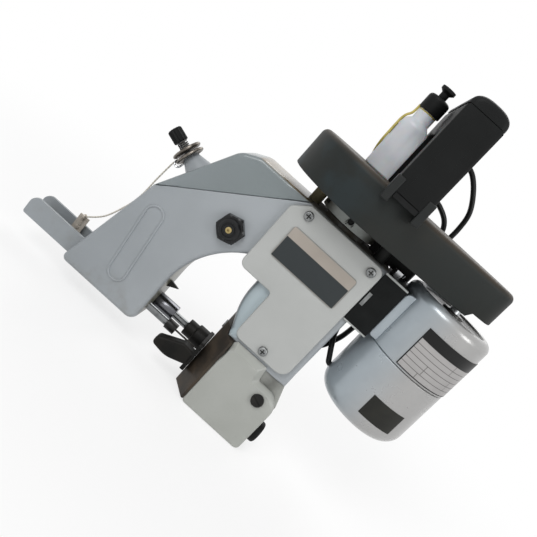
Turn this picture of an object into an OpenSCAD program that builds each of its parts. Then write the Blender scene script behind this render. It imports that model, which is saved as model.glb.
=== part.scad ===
// Hand-held bag closer: a C-shaped sewing machine with a belt drive, a motor and a carrying handle.
// Working pose, millimetres, +Z up. +X runs from the arm to the motor and -Y faces the operator.
// The origin is the middle of the flat underside of the looper housing.

/* [Looper housing] */
// Width of the looper housing along X
foot_w = 58; // [52:1:64]
// Depth of the looper housing along Y
foot_d = 60; // [56:1:68]
// Height of the looper housing
foot_h = 63; // [60:1:68]
// Wall of the looper housing
foot_wall = 4; // [3:0.5:5]
// Depth of the looper cover along Y
cover_d = 8; // [6:0.5:10]
// Radius of the rubber bumper
bumper_r = 9.5; // [8:0.5:12]
// Height of the rubber bumper
bumper_h = 7; // [6:0.5:10]
// Radius of the looper pin
looper_pin_r = 4; // [3:0.5:5]
// Distance of the looper pin right of the middle
looper_pin_x = 14; // [12:0.5:15]
// Height of the looper pin
looper_pin_z = 43; // [41:0.5:45]

/* [Frame] */
// Depth of the frame casting along Y
frame_d = 48; // [46:1:54]
// Wall of the frame casting
frame_wall = 5; // [4:0.5:5.5]
// Distance from the middle to the right side of the frame
frame_right = 22.6; // [21:0.2:24]
// Height of the frame's top face
frame_top = 181.3; // [180:0.1:184]
// Height of the arm's underside
arm_bottom = 17.5; // [15:0.5:18.5]
// Distance from the middle to the throat side of the arm
arm_throat = 98.5; // [97:0.5:100]
// Distance from the middle to the outer lower corner of the arm
arm_reach = 174.5; // [172:0.5:178]
// Distance from the middle to the column side of the throat
column_throat = 47.6; // [46:0.2:49]
// Height of the throat's ceiling
throat_top = 123; // [120:1:125]
// Thickness of the rear cover
rear_t = 3; // [2:0.5:4]
// Width of the raised blank oval on the arm
oval_w = 15; // [12:1:18]
// Length of the raised blank oval on the arm
oval_l = 68; // [56:1:72]
// Height of the oval's rim above the arm
oval_rise = 0.8; // [0.6:0.1:1.2]

/* [Side plate] */
// Thickness of the side plate
plate_t = 4; // [3:0.5:5]
// Thickness of the blank nameplate
nameplate_t = 0.8; // [0.6:0.1:1.2]
// Radius of the cover screws' heads
screw_head_r = 3.8; // [3.5:0.1:4.2]
// Height of the cover screws' heads
screw_head_h = 2.4; // [2:0.1:3]
// Radius of the cover screws' shanks
screw_r = 1.9; // [1.5:0.1:2.1]

/* [Needle drive] */
// Height of the rocker shaft
rocker_z = 127; // [126:0.5:128]
// Distance from the middle to the rocker shaft
rocker_x = 87.5; // [87:0.5:89]
// Radius of the rocker shaft
rocker_shaft_r = 6; // [5:0.5:6.5]
// Width across the flats of the rocker shaft's nut
pivot_nut_af = 20.5; // [17:0.5:23]
// Height of the rocker shaft's nut
pivot_nut_h = 9; // [7:0.5:11]
// Length of the rocker's upper arm
rocker_up = 30; // [29:0.5:31]
// Height of the needle bar
needle_z = 29.5; // [29:0.5:31]
// Radius of the needle bar
needle_bar_r = 3.2; // [3:0.1:3.5]
// Depth of the needle bar's axis, negative towards the operator
needle_y = -4; // [-5:0.5:-3.5]
// Stroke of the needle bar
needle_stroke = 20; // [16:1:20]
// Distance from the arm's end to the rocker's drive pin with the needle drawn back
drive_pin_in = 24.5; // [23.5:0.5:25.5]
// Radius of the rocker's drive pin
drive_pin_r = 3; // [2.5:0.5:3.5]
// Distance from the middle to the needle clamp's face with the needle drawn back
clamp_face = 69.3; // [69:0.1:71]
// Length of the needle clamp
clamp_l = 9.3; // [8:0.1:10]
// Radius of the needle clamp
clamp_r = 4.7; // [4.2:0.1:4.8]
// Radius of the needle
needle_r = 0.8; // [0.7:0.1:1.2]
// Length of the needle out of the clamp
needle_l = 24; // [22:0.5:24.5]

/* [Presser foot] */
// Depth of the presser bar's axis
presser_y = 10; // [9.5:0.5:11]
// Height of the presser bar
presser_z = 33; // [32:0.5:34]
// Radius of the presser bar
presser_bar_r = 3.25; // [3:0.05:3.5]
// Lift of the presser foot
presser_lift = 8; // [6:1:8]
// Radius of the bar bushing
bushing_r = 7.5; // [7:0.1:8]
// Length of the bar bushing outside the arm
bushing_l = 19.5; // [18:0.5:20]
// Radius of the presser foot's collar
foot_collar_r = 9; // [8.5:0.1:9.2]
// Thickness of the presser foot's sole
sole_t = 3.5; // [3:0.1:4]
// Gap between the sole and the throat plate
sole_gap = 0.4; // [0.3:0.1:2]
// Length of the presser spring
presser_spring_l = 30; // [28:1:32]

/* [Throat plate] */
// Thickness of the throat plate along X
throat_plate_t = 14; // [13:0.5:15]
// Height of the throat plate's lower edge
throat_plate_z = 2; // [1:0.5:4]
// Height of the throat plate's upper edge
throat_plate_top = 68; // [66:0.5:69]
// Length of the feed dog along Y
feed_l = 10; // [8:0.5:10]
// Travel of the feed dog along Y
feed_travel = 8; // [6:0.5:8]
// Width of the feed dog along Z
feed_w = 14; // [12:0.5:16]

/* [Drive] */
// Radius of the main shaft
shaft_r = 6; // [5:0.5:6]
// Distance from the middle to the main shaft
shaft_x = 26; // [25.5:0.5:27]
// Distance between the main shaft and the motor shaft
centre_dist = 104; // [103.5:0.5:106]
// Outer radius of the main bearings
bearing_r = 14; // [13:0.5:15]
// Height of a main bearing
bearing_h = 9; // [8:0.5:10]
// Throw of the eccentric
throw = 2.4; // [2.2:0.1:2.4]
// Radius of the eccentric
eccentric_r = 9; // [8.5:0.1:9.4]
// Working radius of the machine pulley
pulley_r = 50; // [46:1:51]
// Working radius of the motor pulley
motor_pulley_r = 11; // [10:0.5:12]
// Width of the drive belt
belt_w = 10; // [8:0.5:11]
// Thickness of the drive belt
belt_t = 2.5; // [2:0.1:3]
// Radius of the machine pulley's hub
hub_r = 24.5; // [18:0.5:27]

/* [Belt cover] */
// Radius of the cover's wide end
cover_big_r = 60; // [59:0.5:62]
// Radius of the cover's narrow end
cover_small_r = 24.5; // [24:0.5:27]
// Height of the cover's lower rim
cover_z = 195; // [194:0.5:196]
// Height of the cover's top
cover_top = 228; // [227:0.5:230]
// Wall of the cover
cover_wall = 3; // [2:0.5:3.5]
// Thickness of the cover's base plate
base_t = 3; // [2:0.5:3]

/* [Handle] */
// Width of the handle along X
handle_w = 30; // [28:0.5:32]
// Distance of the handle's middle left of the origin
handle_x = 10; // [9:0.5:11]
// Depth of the handle's front face
handle_front = 66; // [65:0.5:68]
// Depth of the handle's rear face
handle_rear = 62; // [60:0.5:64]
// Thickness of a handle post along Y
post_t = 24; // [22:0.5:26]
// Height of the parting line of the handle cap
handle_part = 298; // [296:0.5:300]
// Height of the handle's crown above the parting line
crown_h = 10; // [8:0.5:11]
// Depth of the grip from its parting line down to the hand gap
grip_h = 22; // [20:1:26]
// Wall of the handle
handle_wall = 3; // [2.5:0.5:3.5]
// Travel of the switch trigger
trigger_travel = 4; // [3:0.5:5]
// Bore of the mains gland
gland_bore = 7; // [6:0.5:8]

/* [Oil bottle] */
// Radius of the oil bottle
bottle_r = 11.6; // [9.5:0.1:12]
// Height of the bottle's shoulder above the belt cover
bottle_h = 43; // [41:1:45]
// Depth of the bottle's axis
bottle_y = 16; // [14:1:20]
// Travel of the pump button
pump_travel = 4; // [3:0.5:4.5]

/* [Motor] */
// Radius of the motor
motor_r = 38.7; // [37.5:0.1:38.9]
// Height of the motor's underside
motor_z = 79; // [77:0.5:82]
// Height of the seam between the motor's two castings
motor_seam = 137; // [130:0.5:140]
// Height of the motor's top
motor_top = 190; // [188:0.5:191]
// Wall of the motor's castings
motor_wall = 3; // [2.5:0.5:3.5]
// Radius of the motor shaft
motor_shaft_r = 4.5; // [4:0.5:5]
// Thickness of the motor bracket
bracket_t = 4; // [3:0.5:4]

/* [Thread tension] */
// Radius of the tension discs
disc_r = 12; // [10.5:0.5:13.5]
// Radius of the tension knob
knob_r = 5; // [4.4:0.2:6.4]
// Length of the tension knob
knob_l = 11; // [9:0.5:12]
// Turns of the tension spring
spring_turns = 4; // [3:1:5]
// Wire radius of the tension spring
spring_wire_r = 0.5; // [0.4:0.05:0.55]
// Radius of the tension post's foot
tension_foot_r = 12; // [9:0.5:14]
// Radius of the tension post's neck, below the discs
tension_neck_r = 6; // [5:0.5:7]
// Length of the tension post below the thread
tension_post_l = 18; // [17.5:0.5:24]
// Tilt of the tension post above level, in degrees
tension_tilt = 17.5; // [15:0.5:20]

/* [Clearances] */
// Running clearance of a shaft in its bore, on the radius
run = 0.05; // [0.03:0.01:0.1]
// Clearance between pieces that move past each other
gap = 0.4; // [0.3:0.05:0.5]
// Free play of the rocker's fork on its pin, on each side
fork_play = 0.6; // [0.55:0.05:0.8]

/* [Hidden] */
$fn = 48;

// Colours
paint = "#9EA3A6";
cover_paint = "#7F878A";
plate_paint = "#B0B2B0";
black = "#26282A";
steel = "#C4C8CC";
brass = "#B89A58";

// Depths and heights shared by the castings
front = -frame_d / 2;
rear = frame_d / 2;
foot_front = -foot_d / 2;
motor_x = centre_dist - shaft_x;
throat_plate_x = -foot_w / 2 - throat_plate_t;
arm_in = -arm_throat - frame_wall;
shelf_z = 92;
shelf_t = 6;
screw_boss_r = 5;
seam = [21.5 - arm_reach, 112];
seam_top = -56;
boss_face = 16.5 - arm_reach;
drive_pin_x = arm_reach - drive_pin_in;
grip_z = handle_part - grip_h;
function seam_at(x) = seam.y + (x - seam.x) * (frame_top - seam.y) / (seam_top - seam.x);

// Rocker angles, from straight down, with the needle drawn back and run out
rocker_drop = rocker_z - needle_z;
rocker_back = atan((drive_pin_x - rocker_x) / rocker_drop);
rocker_out = atan((drive_pin_x - needle_stroke - rocker_x) / rocker_drop);
rocker_mid = (rocker_back + rocker_out) / 2;
rocker_lean = rocker_back - rocker_mid;
rod_z = rocker_z + rocker_up * cos(rocker_lean);
rod_x = -rocker_x + rocker_up * sin(rocker_lean);
rod_l = rocker_x - shaft_x;

// Belt drive heights
base_z = cover_z + 5;
pulley_z = base_z + base_t + 1;
belt_z = pulley_z + 1;
pulley_h = belt_w + 2;
belt_gap = 0.35;

// Points of a closed outline, given as [x, y, corner radius], with each corner rounded by an arc
function unit(v) = v / norm(v);
function corner(a, b, c, r) =
    let (u = unit([a.x - b.x, a.y - b.y]), v = unit([c.x - b.x, c.y - b.y]),
         half = acos(max(-1, min(1, u * v))) / 2, reach = r / tan(half),
         mid = [b.x, b.y] + unit(u + v) * r / sin(half),
         s = [b.x, b.y] + u * reach, e = [b.x, b.y] + v * reach,
         a0 = atan2(s.y - mid.y, s.x - mid.x), a1 = atan2(e.y - mid.y, e.x - mid.x),
         turn = (a1 - a0 + 540) % 360 - 180, n = max(2, ceil(abs(turn) / 15)))
    [for (i = [0:n]) mid + r * [cos(a0 + turn * i / n), sin(a0 + turn * i / n)]];
function rounded(p) = [for (i = [0:len(p) - 1])
    let (a = p[(i + len(p) - 1) % len(p)], b = p[i], c = p[(i + 1) % len(p)])
    each b[2] > 0 ? corner(a, b, c, b[2]) : [[b.x, b.y]]];
// The same outline moved inwards by d, for points given counter-clockwise
function inset(p, d) = [for (i = [0:len(p) - 1])
    let (a = p[(i + len(p) - 1) % len(p)], b = p[i], c = p[(i + 1) % len(p)],
         u = unit([b.x - a.x, b.y - a.y]), v = unit([c.x - b.x, c.y - b.y]),
         m = [-u.y - v.y, u.x + v.x] / (1 + u * v),
         hollow = u.x * v.y - u.y * v.x < 0)
    [b.x + m.x * d, b.y + m.y * d, b[2] > 0 ? max(0.5, b[2] + (hollow ? d : -d)) : 0]];

// An outline in X and Z, drawn out along Y
module slab(points, y0, y1) {
    translate([0, y1, 0]) rotate([90, 0, 0]) linear_extrude(y1 - y0) polygon(points);
}
// A cylinder along Y or along X
module along_y(x, z, r, y0, y1) {
    translate([x, y1, z]) rotate([90, 0, 0]) cylinder(r = r, h = y1 - y0);
}
module along_x(y, z, r, x0, x1) {
    translate([x0, y, z]) rotate([0, 90, 0]) cylinder(r = r, h = x1 - x0);
}
module block(lo, hi) {
    translate(lo) cube(hi - lo);
}
// An egg outline: arcs about the main shaft and the motor shaft, joined by their outer tangents
module egg(big, small) {
    steps = 48;
    touch = 90 - asin((big - small) / centre_dist);
    polygon([for (i = [0:steps]) let (a = touch + (360 - 2 * touch) * i / steps)
            [-shaft_x + big * cos(a), big * sin(a)],
        for (i = [0:steps]) let (a = -touch + 2 * touch * i / steps)
            [motor_x + small * cos(a), small * sin(a)]]);
}
// A tube swept along points as one closed surface, with square ends and no twist from ring to ring
function along(p, i) = unit(p[min(i + 1, len(p) - 1)] - p[max(i - 1, 0)]);
function carried(p, i, u) = i == len(p) ? [] :
    let (t = along(p, i), v = unit(u - (u * t) * t))
    concat([[v, cross(t, v)]], carried(p, i + 1, v));
module tube(p, r, sides) {
    rings = len(p);
    frames = carried(p, 0, cross([0.3, 0.9, 0.2], along(p, 0)));
    verts = [for (i = [0:rings - 1]) for (k = [0:sides - 1])
        p[i] + r * (frames[i][0] * cos(360 * k / sides) + frames[i][1] * sin(360 * k / sides))];
    walls = [for (i = [0:rings - 2]) for (k = [0:sides - 1])
        let (a = i * sides + k, b = i * sides + (k + 1) % sides)
        each [[a, b + sides, b], [a, a + sides, b + sides]]];
    near = [for (k = [1:sides - 2]) [0, k, k + 1]];
    last = (rings - 1) * sides;
    far = [for (k = [1:sides - 2]) [last, last + k + 1, last + k]];
    polyhedron(verts, concat(walls, near, far));
}
// Points of a smooth curve through chosen points
function spline(p, n) = concat([for (i = [0:len(p) - 2]) each [for (s = [0:n - 1])
    let (a = p[max(i - 1, 0)], b = p[i], c = p[i + 1], d = p[min(i + 2, len(p) - 1)], t = s / n)
    0.5 * (2 * b + (c - a) * t + (2 * a - 5 * b + 4 * c - d) * t * t
        + (3 * b - a - 3 * c + d) * t * t * t)]], [p[len(p) - 1]]);

// Outlines
knee = [-column_throat, 89];
heel = [-36, foot_h];
frame_outline = [[-arm_reach, arm_bottom, 3], [-arm_throat, arm_bottom, 8], [-arm_throat, 100, 72],
    [-62, throat_top, 5], [-column_throat, throat_top, 6], [knee.x, knee.y, 60],
    [heel.x, heel.y, 0], [frame_right, foot_h, 0], [frame_right, frame_top, 4],
    [seam_top, frame_top, 0], [seam.x, seam.y, 0]];
top_cover_outline = [[seam.x, seam.y, 0], [seam_top, frame_top, 0],
    [70.5 - arm_reach, frame_top, 16], [55.5 - arm_reach, frame_top - 7.3, 14]];
plate_outline = [[-66.3, 112, 6], [-33.7, 112, 3], [-33.7, foot_h + 5.4, 6],
    [frame_right - 5.4, foot_h + 5.4, 9], [frame_right - 5.4, frame_top - 0.8, 7],
    [-54, frame_top - 0.8, 4], [-66.3, frame_top - 11, 5]];
plate_screws = [[-51, frame_top - 8], [frame_right - 13.5, frame_top - 8], [-8.5, foot_h + 11.3]];
rear_screws = [[-60, frame_top - 9], [frame_right - 9, frame_top - 9], [frame_right - 9, foot_h + 9],
    [-arm_reach + 12, arm_bottom + 9], [-arm_throat - 9, arm_bottom + 9]];
housing_outline = [[-foot_w / 2, 0, 3], [foot_w / 2, 0, 3], [foot_w / 2, foot_h - 18, 4],
    [frame_right, foot_h, 0], [-foot_w / 2 + 8, foot_h, 0], [-foot_w / 2, foot_h - 10, 3]];
cover_shoulder = foot_h - 10;
lip_rise = 2.5;
function looper_cover_outline(top) = [[-foot_w / 2, 0, 3], [foot_w / 2, 0, 4],
    [foot_w / 2, cover_shoulder, 13], [5, cover_shoulder, 2], [3, top, 2], [-foot_w / 2, top, 3]];

// Bracket and bolts
bracket_z = motor_seam - 3;
bracket_top = frame_top - 0.3;
bracket_x = motor_x - motor_r - 0.3;
bracket_bolt_x = frame_right + 5.4;
lug_x = frame_right + 10.4;
bolt_r = 3;
bolt_head_r = 5.4;
bolt_head_h = 4.5;
pad_bolt_y = 16;
pad_bolt_z = (bracket_z + bracket_top) / 2;
pad_y = 24;

// Looper housing and what it holds
module looper_housing() {
    seat = foot_front + cover_d;
    color(plate_paint) difference() {
        slab(rounded(housing_outline), seat, foot_d / 2);
        difference() {
            slab(rounded(inset(housing_outline, foot_wall)), foot_front, foot_d / 2 - foot_wall);
            block([0, seat, cover_shoulder - foot_wall], [foot_w, seat + foot_wall, foot_h]);
        }
        block([-foot_w, -12, 14], [-foot_w / 2 + foot_wall + 1, 23.5, 46]);
        along_y(looper_pin_x, looper_pin_z, looper_pin_r + run, 0, foot_d);
    }
}
module looper_cover() {
    color(plate_paint) difference() {
        union() {
            slab(rounded(looper_cover_outline(foot_h - 0.5)), foot_front, foot_front + cover_d);
            slab(rounded(looper_cover_outline(foot_h + lip_rise)), foot_front, front - gap);
        }
        along_y(looper_pin_x, looper_pin_z, looper_pin_r + run, -foot_d, 0);
    }
}
module looper_pin() {
    head = 2;
    slot = 1.2;
    color(black) difference() {
        union() {
            along_y(looper_pin_x, looper_pin_z, looper_pin_r, foot_front, foot_d / 2);
            along_y(looper_pin_x, looper_pin_z, looper_pin_r + 1.2, foot_front - head, foot_front);
        }
        translate([looper_pin_x, foot_front - head, looper_pin_z]) rotate([0, 20, 0])
            cube([foot_w, slot, slot], center = true);
    }
}
module looper() {
    hub = looper_pin_r + 4;
    hook = [[0, 5, 2], [-30, -8, 1], [-34, -14, 0], [-29, -17, 3], [0, -6, 2]];
    color(steel) translate([looper_pin_x, 0, looper_pin_z]) difference() {
        union() {
            along_y(0, 0, hub, 0, 10);
            slab(rounded(hook), 1, 4);
        }
        along_y(0, 0, looper_pin_r + run, -1, 11);
    }
}
feed_y = 4;
feed_z = needle_z;
module feed_dog() {
    tooth = 1.2;
    color(steel) {
        block([throat_plate_x + 1.5, feed_y, feed_z - feed_w / 2],
            [-foot_w / 2 + foot_wall + 2, feed_y + feed_l, feed_z + feed_w / 2]);
        for (z = [feed_z - feed_w / 2 : 2 * tooth : feed_z + feed_w / 2 - tooth])
            block([throat_plate_x + 0.4, feed_y, z], [throat_plate_x + 1.5, feed_y + feed_l, z + tooth]);
    }
}
throat_screw_z = [throat_plate_z + 6, throat_plate_top - 14];
throat_screw_y = 19;
module throat_plate() {
    ramp = 18;
    back = foot_d / 2 - 2;
    window = [feed_y - gap, feed_y + feed_l + feed_travel + gap];
    color(black) difference() {
        translate([0, 0, throat_plate_z]) linear_extrude(throat_plate_top - throat_plate_z)
            polygon([[-foot_w / 2, foot_front], [-foot_w / 2, back], [throat_plate_x, back],
                [throat_plate_x, foot_front + ramp], [-foot_w / 2 - 2, foot_front]]);
        block([throat_plate_x - 1, window[0], feed_z - feed_w / 2 - gap],
            [-foot_w / 2 + 1, window[1], feed_z + feed_w / 2 + gap]);
        along_x(needle_y, needle_z, needle_r + 2, throat_plate_x - 1, -foot_w / 2 + 1);
        for (z = throat_screw_z) along_x(throat_screw_y, z, screw_r + run, throat_plate_x - 1, 0);
        slab([heel - [gap, 0], [-foot_w / 2 + 1, foot_h], [-foot_w / 2 + 1, knee.y], knee - [gap, 0]],
            -foot_d, foot_d);
    }
}
module rubber_bumper() {
    rise = 5;
    ahead = 10;
    color(black) translate([foot_w / 2, -ahead, bumper_r + rise]) rotate([0, 90, 0]) rotate_extrude()
        polygon(concat([[0, 0]], [for (a = [0:15:90]) [bumper_r * cos(a), bumper_h * sin(a)]]));
}

// Frame, covers and plates
module frame_casting() {
    boss_r = bearing_r + 4;
    pad = 3;
    color(paint) difference() {
        union() {
            difference() {
                slab(rounded(frame_outline), front, rear);
                slab(rounded(inset(frame_outline, frame_wall)), front + frame_wall, rear + 1);
                slab(rounded(inset(plate_outline, 9)), front - 1, front + frame_wall + 1);
            }
            along_y(-rocker_x, rocker_z, rocker_shaft_r + 5, front + 1, front + frame_wall + 2.5);
            translate([-shaft_x, 0, frame_top - bearing_h - 4]) cylinder(r = boss_r, h = bearing_h + 4 + pad);
            translate([-shaft_x, 0, shelf_z]) cylinder(r = boss_r, h = bearing_h + shelf_t);
            block([-column_throat + 1, front + 1, shelf_z], [frame_right - 1, rear, shelf_z + shelf_t]);
            for (s = rear_screws) along_y(s.x, s.y, screw_boss_r, rear - 8, rear);
            intersection() {
                slab(rounded(frame_outline), front, rear);
                block([-arm_reach, front + 1, arm_bottom + 1], [boss_face, rear, presser_z + 9]);
            }
            block([frame_right - 1, -11, bracket_z + bracket_t], [lug_x, 11, bracket_top - bracket_t]);
            oval_rim();
        }
        along_y(-rocker_x, rocker_z, rocker_shaft_r + run, front - 1, rear);
        translate([-shaft_x, 0, frame_top - bearing_h - 1]) cylinder(r = bearing_r + run, h = bearing_h + 9);
        translate([-shaft_x, 0, shelf_z + shelf_t]) cylinder(r = bearing_r + run, h = bearing_h + 1);
        translate([-shaft_x, 0, shelf_z - 1]) cylinder(r = shaft_r + 3, h = frame_top - shelf_z);
        along_x(needle_y, needle_z, needle_bar_r + run, -arm_reach - 1, -arm_throat + 1);
        along_x(presser_y, presser_z, presser_bar_r + run, boss_face - presser_lift - 2, boss_face + 1);
        along_x(presser_y, presser_z, bushing_r - 1.5 + run, arm_in - 1, -arm_throat + 1);
        block([-drive_pin_x - 12, lever_y - 1, arm_bottom - 1],
            [-drive_pin_x + needle_stroke + 8, lever_y + lever_t + 1, arm_bottom + frame_wall + 1]);
        slab([for (c = [[-114, 2], [-66, 2], [-66, -15], [-114, -15]]) [c.x, seam_at(c.x) + c.y]],
            front + frame_wall + 1, rear - frame_wall);
        for (z = [bracket_z, bracket_top - 20]) translate([bracket_bolt_x, 0, z])
            cylinder(r = bolt_r + run, h = 20);
        for (s = plate_screws) along_y(s.x, s.y, screw_r + run, front - 1, front + 10);
        for (s = rear_screws) along_y(s.x, s.y, screw_r + run, rear - 8, rear + 1);
    }
}
module oval_rim() {
    rim = 1.2;
    translate([39.5 - arm_reach, front + 0.5, 68]) rotate([0, -6, 0]) difference() {
        slab(rounded(oval(0)), -0.5 - oval_rise, 0);
        slab(rounded(oval(rim)), -1 - oval_rise, 1);
    }
}
function oval(d) = let (x = oval_w / 2 - d, z = oval_l / 2 - d)
    [[-x, -z, x - 0.1], [x, -z, x - 0.1], [x, z, x - 0.1], [-x, z, x - 0.1]];
module arm_top_cover() {
    wall = 3.5;
    hollow = rounded(inset(top_cover_outline, wall));
    color(cover_paint) difference() {
        slab(rounded(top_cover_outline), front, rear);
        for (drop = [0, 6]) translate([drop * 0.7, 0, -drop]) slab(hollow, front + wall, rear - wall);
    }
}
module side_plate() {
    color(plate_paint) difference() {
        slab(rounded(plate_outline), front - plate_t, front);
        for (s = plate_screws) along_y(s.x, s.y, screw_r + run, front - plate_t - 1, front + 1);
    }
}
module pan_screw(x, z, face, depth, side) {
    translate([x, face, z]) rotate([90 * side, 0, 0]) difference() {
        union() {
            translate([0, 0, -depth]) cylinder(r = screw_r, h = depth);
            rotate_extrude() polygon(rounded([[0, 0, 0], [screw_head_r, 0, 0],
                [screw_head_r, screw_head_h, screw_head_h * 0.6], [0, screw_head_h, 0]]));
        }
        for (a = [0, 90]) rotate(a) translate([0, 0, screw_head_h]) cube([4.4, 1, 2], center = true);
    }
}
module cover_screws() {
    color(steel) {
        for (s = plate_screws) pan_screw(s.x, s.y, front - plate_t, plate_t + 8, 1);
        for (s = rear_screws) pan_screw(s.x, s.y, rear + rear_t, rear_t + 6, -1);
        for (z = throat_screw_z) {
            along_x(throat_screw_y, z, screw_r, throat_plate_x, -foot_w / 2);
            along_x(throat_screw_y, z, screw_head_r, throat_plate_x - 1, throat_plate_x);
        }
    }
}
nameplate_lo = [-54, 133.5];
nameplate_hi = [7.3, 162];
module nameplate() {
    lo = nameplate_lo;
    hi = nameplate_hi;
    color("#8C8A86") slab(rounded([[lo.x, lo.y, 3], [hi.x, lo.y, 3], [hi.x, hi.y, 3], [lo.x, hi.y, 3]]),
        front - plate_t - nameplate_t, front - plate_t);
}
module rear_cover() {
    color(paint) difference() {
        slab(rounded(frame_outline), rear, rear + rear_t);
        along_y(-rocker_x, rocker_z, rocker_shaft_r + run, 0, rear + rear_t + 1);
        for (s = rear_screws) along_y(s.x, s.y, screw_r + run, rear - 1, rear + rear_t + 1);
    }
}

// Needle drive
module rocker_shaft() {
    color(steel) along_y(-rocker_x, rocker_z, rocker_shaft_r, front, rear + rear_t);
}
oil_hole_r = 2.4;
nut_turn = 45;
module pivot_nut() {
    color(black) difference() {
        union() {
            translate([-rocker_x, front, rocker_z]) rotate([90, nut_turn, 0])
                cylinder(d = pivot_nut_af / cos(30), h = pivot_nut_h - 3, $fn = 6);
            along_y(-rocker_x, rocker_z, pivot_nut_af * 0.4, front - pivot_nut_h, front - pivot_nut_h + 3);
        }
        along_y(-rocker_x, rocker_z, oil_hole_r, front - pivot_nut_h - 1, front - pivot_nut_h + 4);
    }
}
module oil_plug() {
    color(brass) difference() {
        along_y(-rocker_x, rocker_z, oil_hole_r - run, front - pivot_nut_h - 0.8, front - pivot_nut_h + 4);
        along_y(-rocker_x, rocker_z, 1, front - pivot_nut_h - 1, front - pivot_nut_h + 1.5);
    }
}
lever_y = front + frame_wall + 3;
lever_t = 5;
rod_t = 10;
rod_pin_r = 4;
module rocker_lever() {
    hub_r0 = rocker_shaft_r + 4;
    bar = 5;
    drop = rocker_drop / cos(rocker_back) + 0.8;
    slot = drive_pin_r + fork_play;
    fork = slot + 2.6;
    neck = drop - 24;
    color(steel) translate([-rocker_x, 0, rocker_z]) rotate([0, rocker_back, 0]) difference() {
        union() {
            along_y(0, 0, hub_r0, lever_y, lever_y + 12);
            slab([[-bar, 0], [-bar, -neck], [-fork, -neck - 6], [-fork, -drop], [fork, -drop],
                [fork, -neck - 6], [bar, -neck], [bar, 0]], lever_y, lever_y + lever_t);
            rotate([0, -rocker_mid, 0]) {
                slab([[-bar, 0], [bar, 0], [bar, rocker_up], [-bar, rocker_up]],
                    lever_y + lever_t, lever_y + 10);
                along_y(0, rocker_up, bar, lever_y + lever_t, lever_y + 10);
                along_y(0, rocker_up, rod_pin_r, lever_y + 10, rod_t / 2);
            }
        }
        along_y(0, 0, rocker_shaft_r + run, lever_y - 1, lever_y + 13);
        slab([[-slot, -neck - 8], [-slot, -drop - 1], [slot, -drop - 1], [slot, -neck - 8]],
            lever_y - 1, lever_y + lever_t + 1);
    }
}
module connecting_rod() {
    eye = rod_pin_r + 3.5;
    ring_in = eccentric_r + 2 * throw + 0.5;
    ring_out = ring_in + 3.5;
    h = 9;
    color(steel) translate([rod_x, 0, rod_z]) difference() {
        union() {
            along_y(0, 0, eye, -rod_t / 2 + 0.6, rod_t / 2);
            block([0, -4, -h / 2], [rod_l - ring_in, 4, h / 2]);
            translate([rod_l, 0, -h / 2]) cylinder(r = ring_out, h = h);
        }
        along_y(0, 0, rod_pin_r + run, -rod_t, rod_t);
        translate([rod_l, 0, -h]) cylinder(r = ring_in, h = 2 * h);
    }
}
module main_shaft() {
    color(steel) translate([-shaft_x, 0, 0]) {
        translate([0, 0, shelf_z - 6]) cylinder(r = shaft_r, h = pulley_z + pulley_h - shelf_z + 6);
        translate([throw, 0, rod_z - 4]) cylinder(r = eccentric_r, h = 8);
    }
}
module main_bearings() {
    seats = [frame_top - bearing_h - 1, shelf_z + shelf_t];
    color(steel) for (z = seats) translate([-shaft_x, 0, z]) difference() {
        cylinder(r = bearing_r, h = bearing_h);
        translate([0, 0, -1]) cylinder(r = shaft_r + run, h = bearing_h + 2);
        translate([0, 0, bearing_h - 1]) difference() {
            cylinder(r = bearing_r - 2, h = 2);
            cylinder(r = shaft_r + 2, h = 4);
        }
    }
}
module machine_pulley() {
    hub_z = frame_top + 4;
    set_screw = 2.5;
    color(steel) translate([-shaft_x, 0, 0]) difference() {
        union() {
            translate([0, 0, hub_z]) cylinder(r = hub_r, h = pulley_z - hub_z + 1);
            translate([0, 0, pulley_z]) cylinder(r = pulley_r, h = pulley_h);
            for (z = [pulley_z, pulley_z + pulley_h - 1 + belt_gap]) translate([0, 0, z])
                cylinder(r = pulley_r + belt_t / 2, h = 1 - belt_gap);
        }
        translate([0, 0, pulley_z + 4]) difference() {
            cylinder(r = pulley_r - 4, h = pulley_h);
            cylinder(r = shaft_r + 6, h = 2 * pulley_h);
        }
        cylinder(r = shaft_r + run, h = cover_top);
        for (a = [0, 65]) translate([0, 0, hub_z + 5]) rotate([90, 0, -a])
            cylinder(r = set_screw, h = hub_r + 1);
    }
}
module drive_belt() {
    color(black) translate([0, 0, belt_z]) linear_extrude(belt_w) difference() {
        egg(pulley_r + belt_gap + belt_t, motor_pulley_r + belt_gap + belt_t);
        egg(pulley_r + belt_gap, motor_pulley_r + belt_gap);
    }
}

// Motor and its bracket
module motor_pulley() {
    color(steel) translate([motor_x, 0, 0]) difference() {
        union() {
            translate([0, 0, pulley_z]) cylinder(r = motor_pulley_r, h = pulley_h);
            for (z = [pulley_z, pulley_z + pulley_h - 1 + belt_gap]) translate([0, 0, z])
                cylinder(r = motor_pulley_r + belt_t / 2, h = 1 - belt_gap);
        }
        cylinder(r = motor_shaft_r + run, h = cover_top);
    }
}
core_r = 17;
core_z = motor_seam - 24;
core_h = 46;
module motor_armature() {
    color(steel) translate([motor_x, 0, 0]) {
        translate([0, 0, motor_z + 5 + gap])
            cylinder(r = motor_shaft_r, h = pulley_z + pulley_h - motor_z - 5 - gap);
        translate([0, 0, core_z]) cylinder(r = core_r, h = core_h);
        translate([0, 0, core_z - 14]) cylinder(r = core_r - 5, h = 11);
    }
}
module motor_stator() {
    color("#6A4A38") translate([motor_x, 0, core_z]) difference() {
        cylinder(r = motor_r - motor_wall - run, h = core_h);
        translate([0, 0, -1]) cylinder(r = core_r + gap, h = core_h + 2);
    }
}
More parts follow.
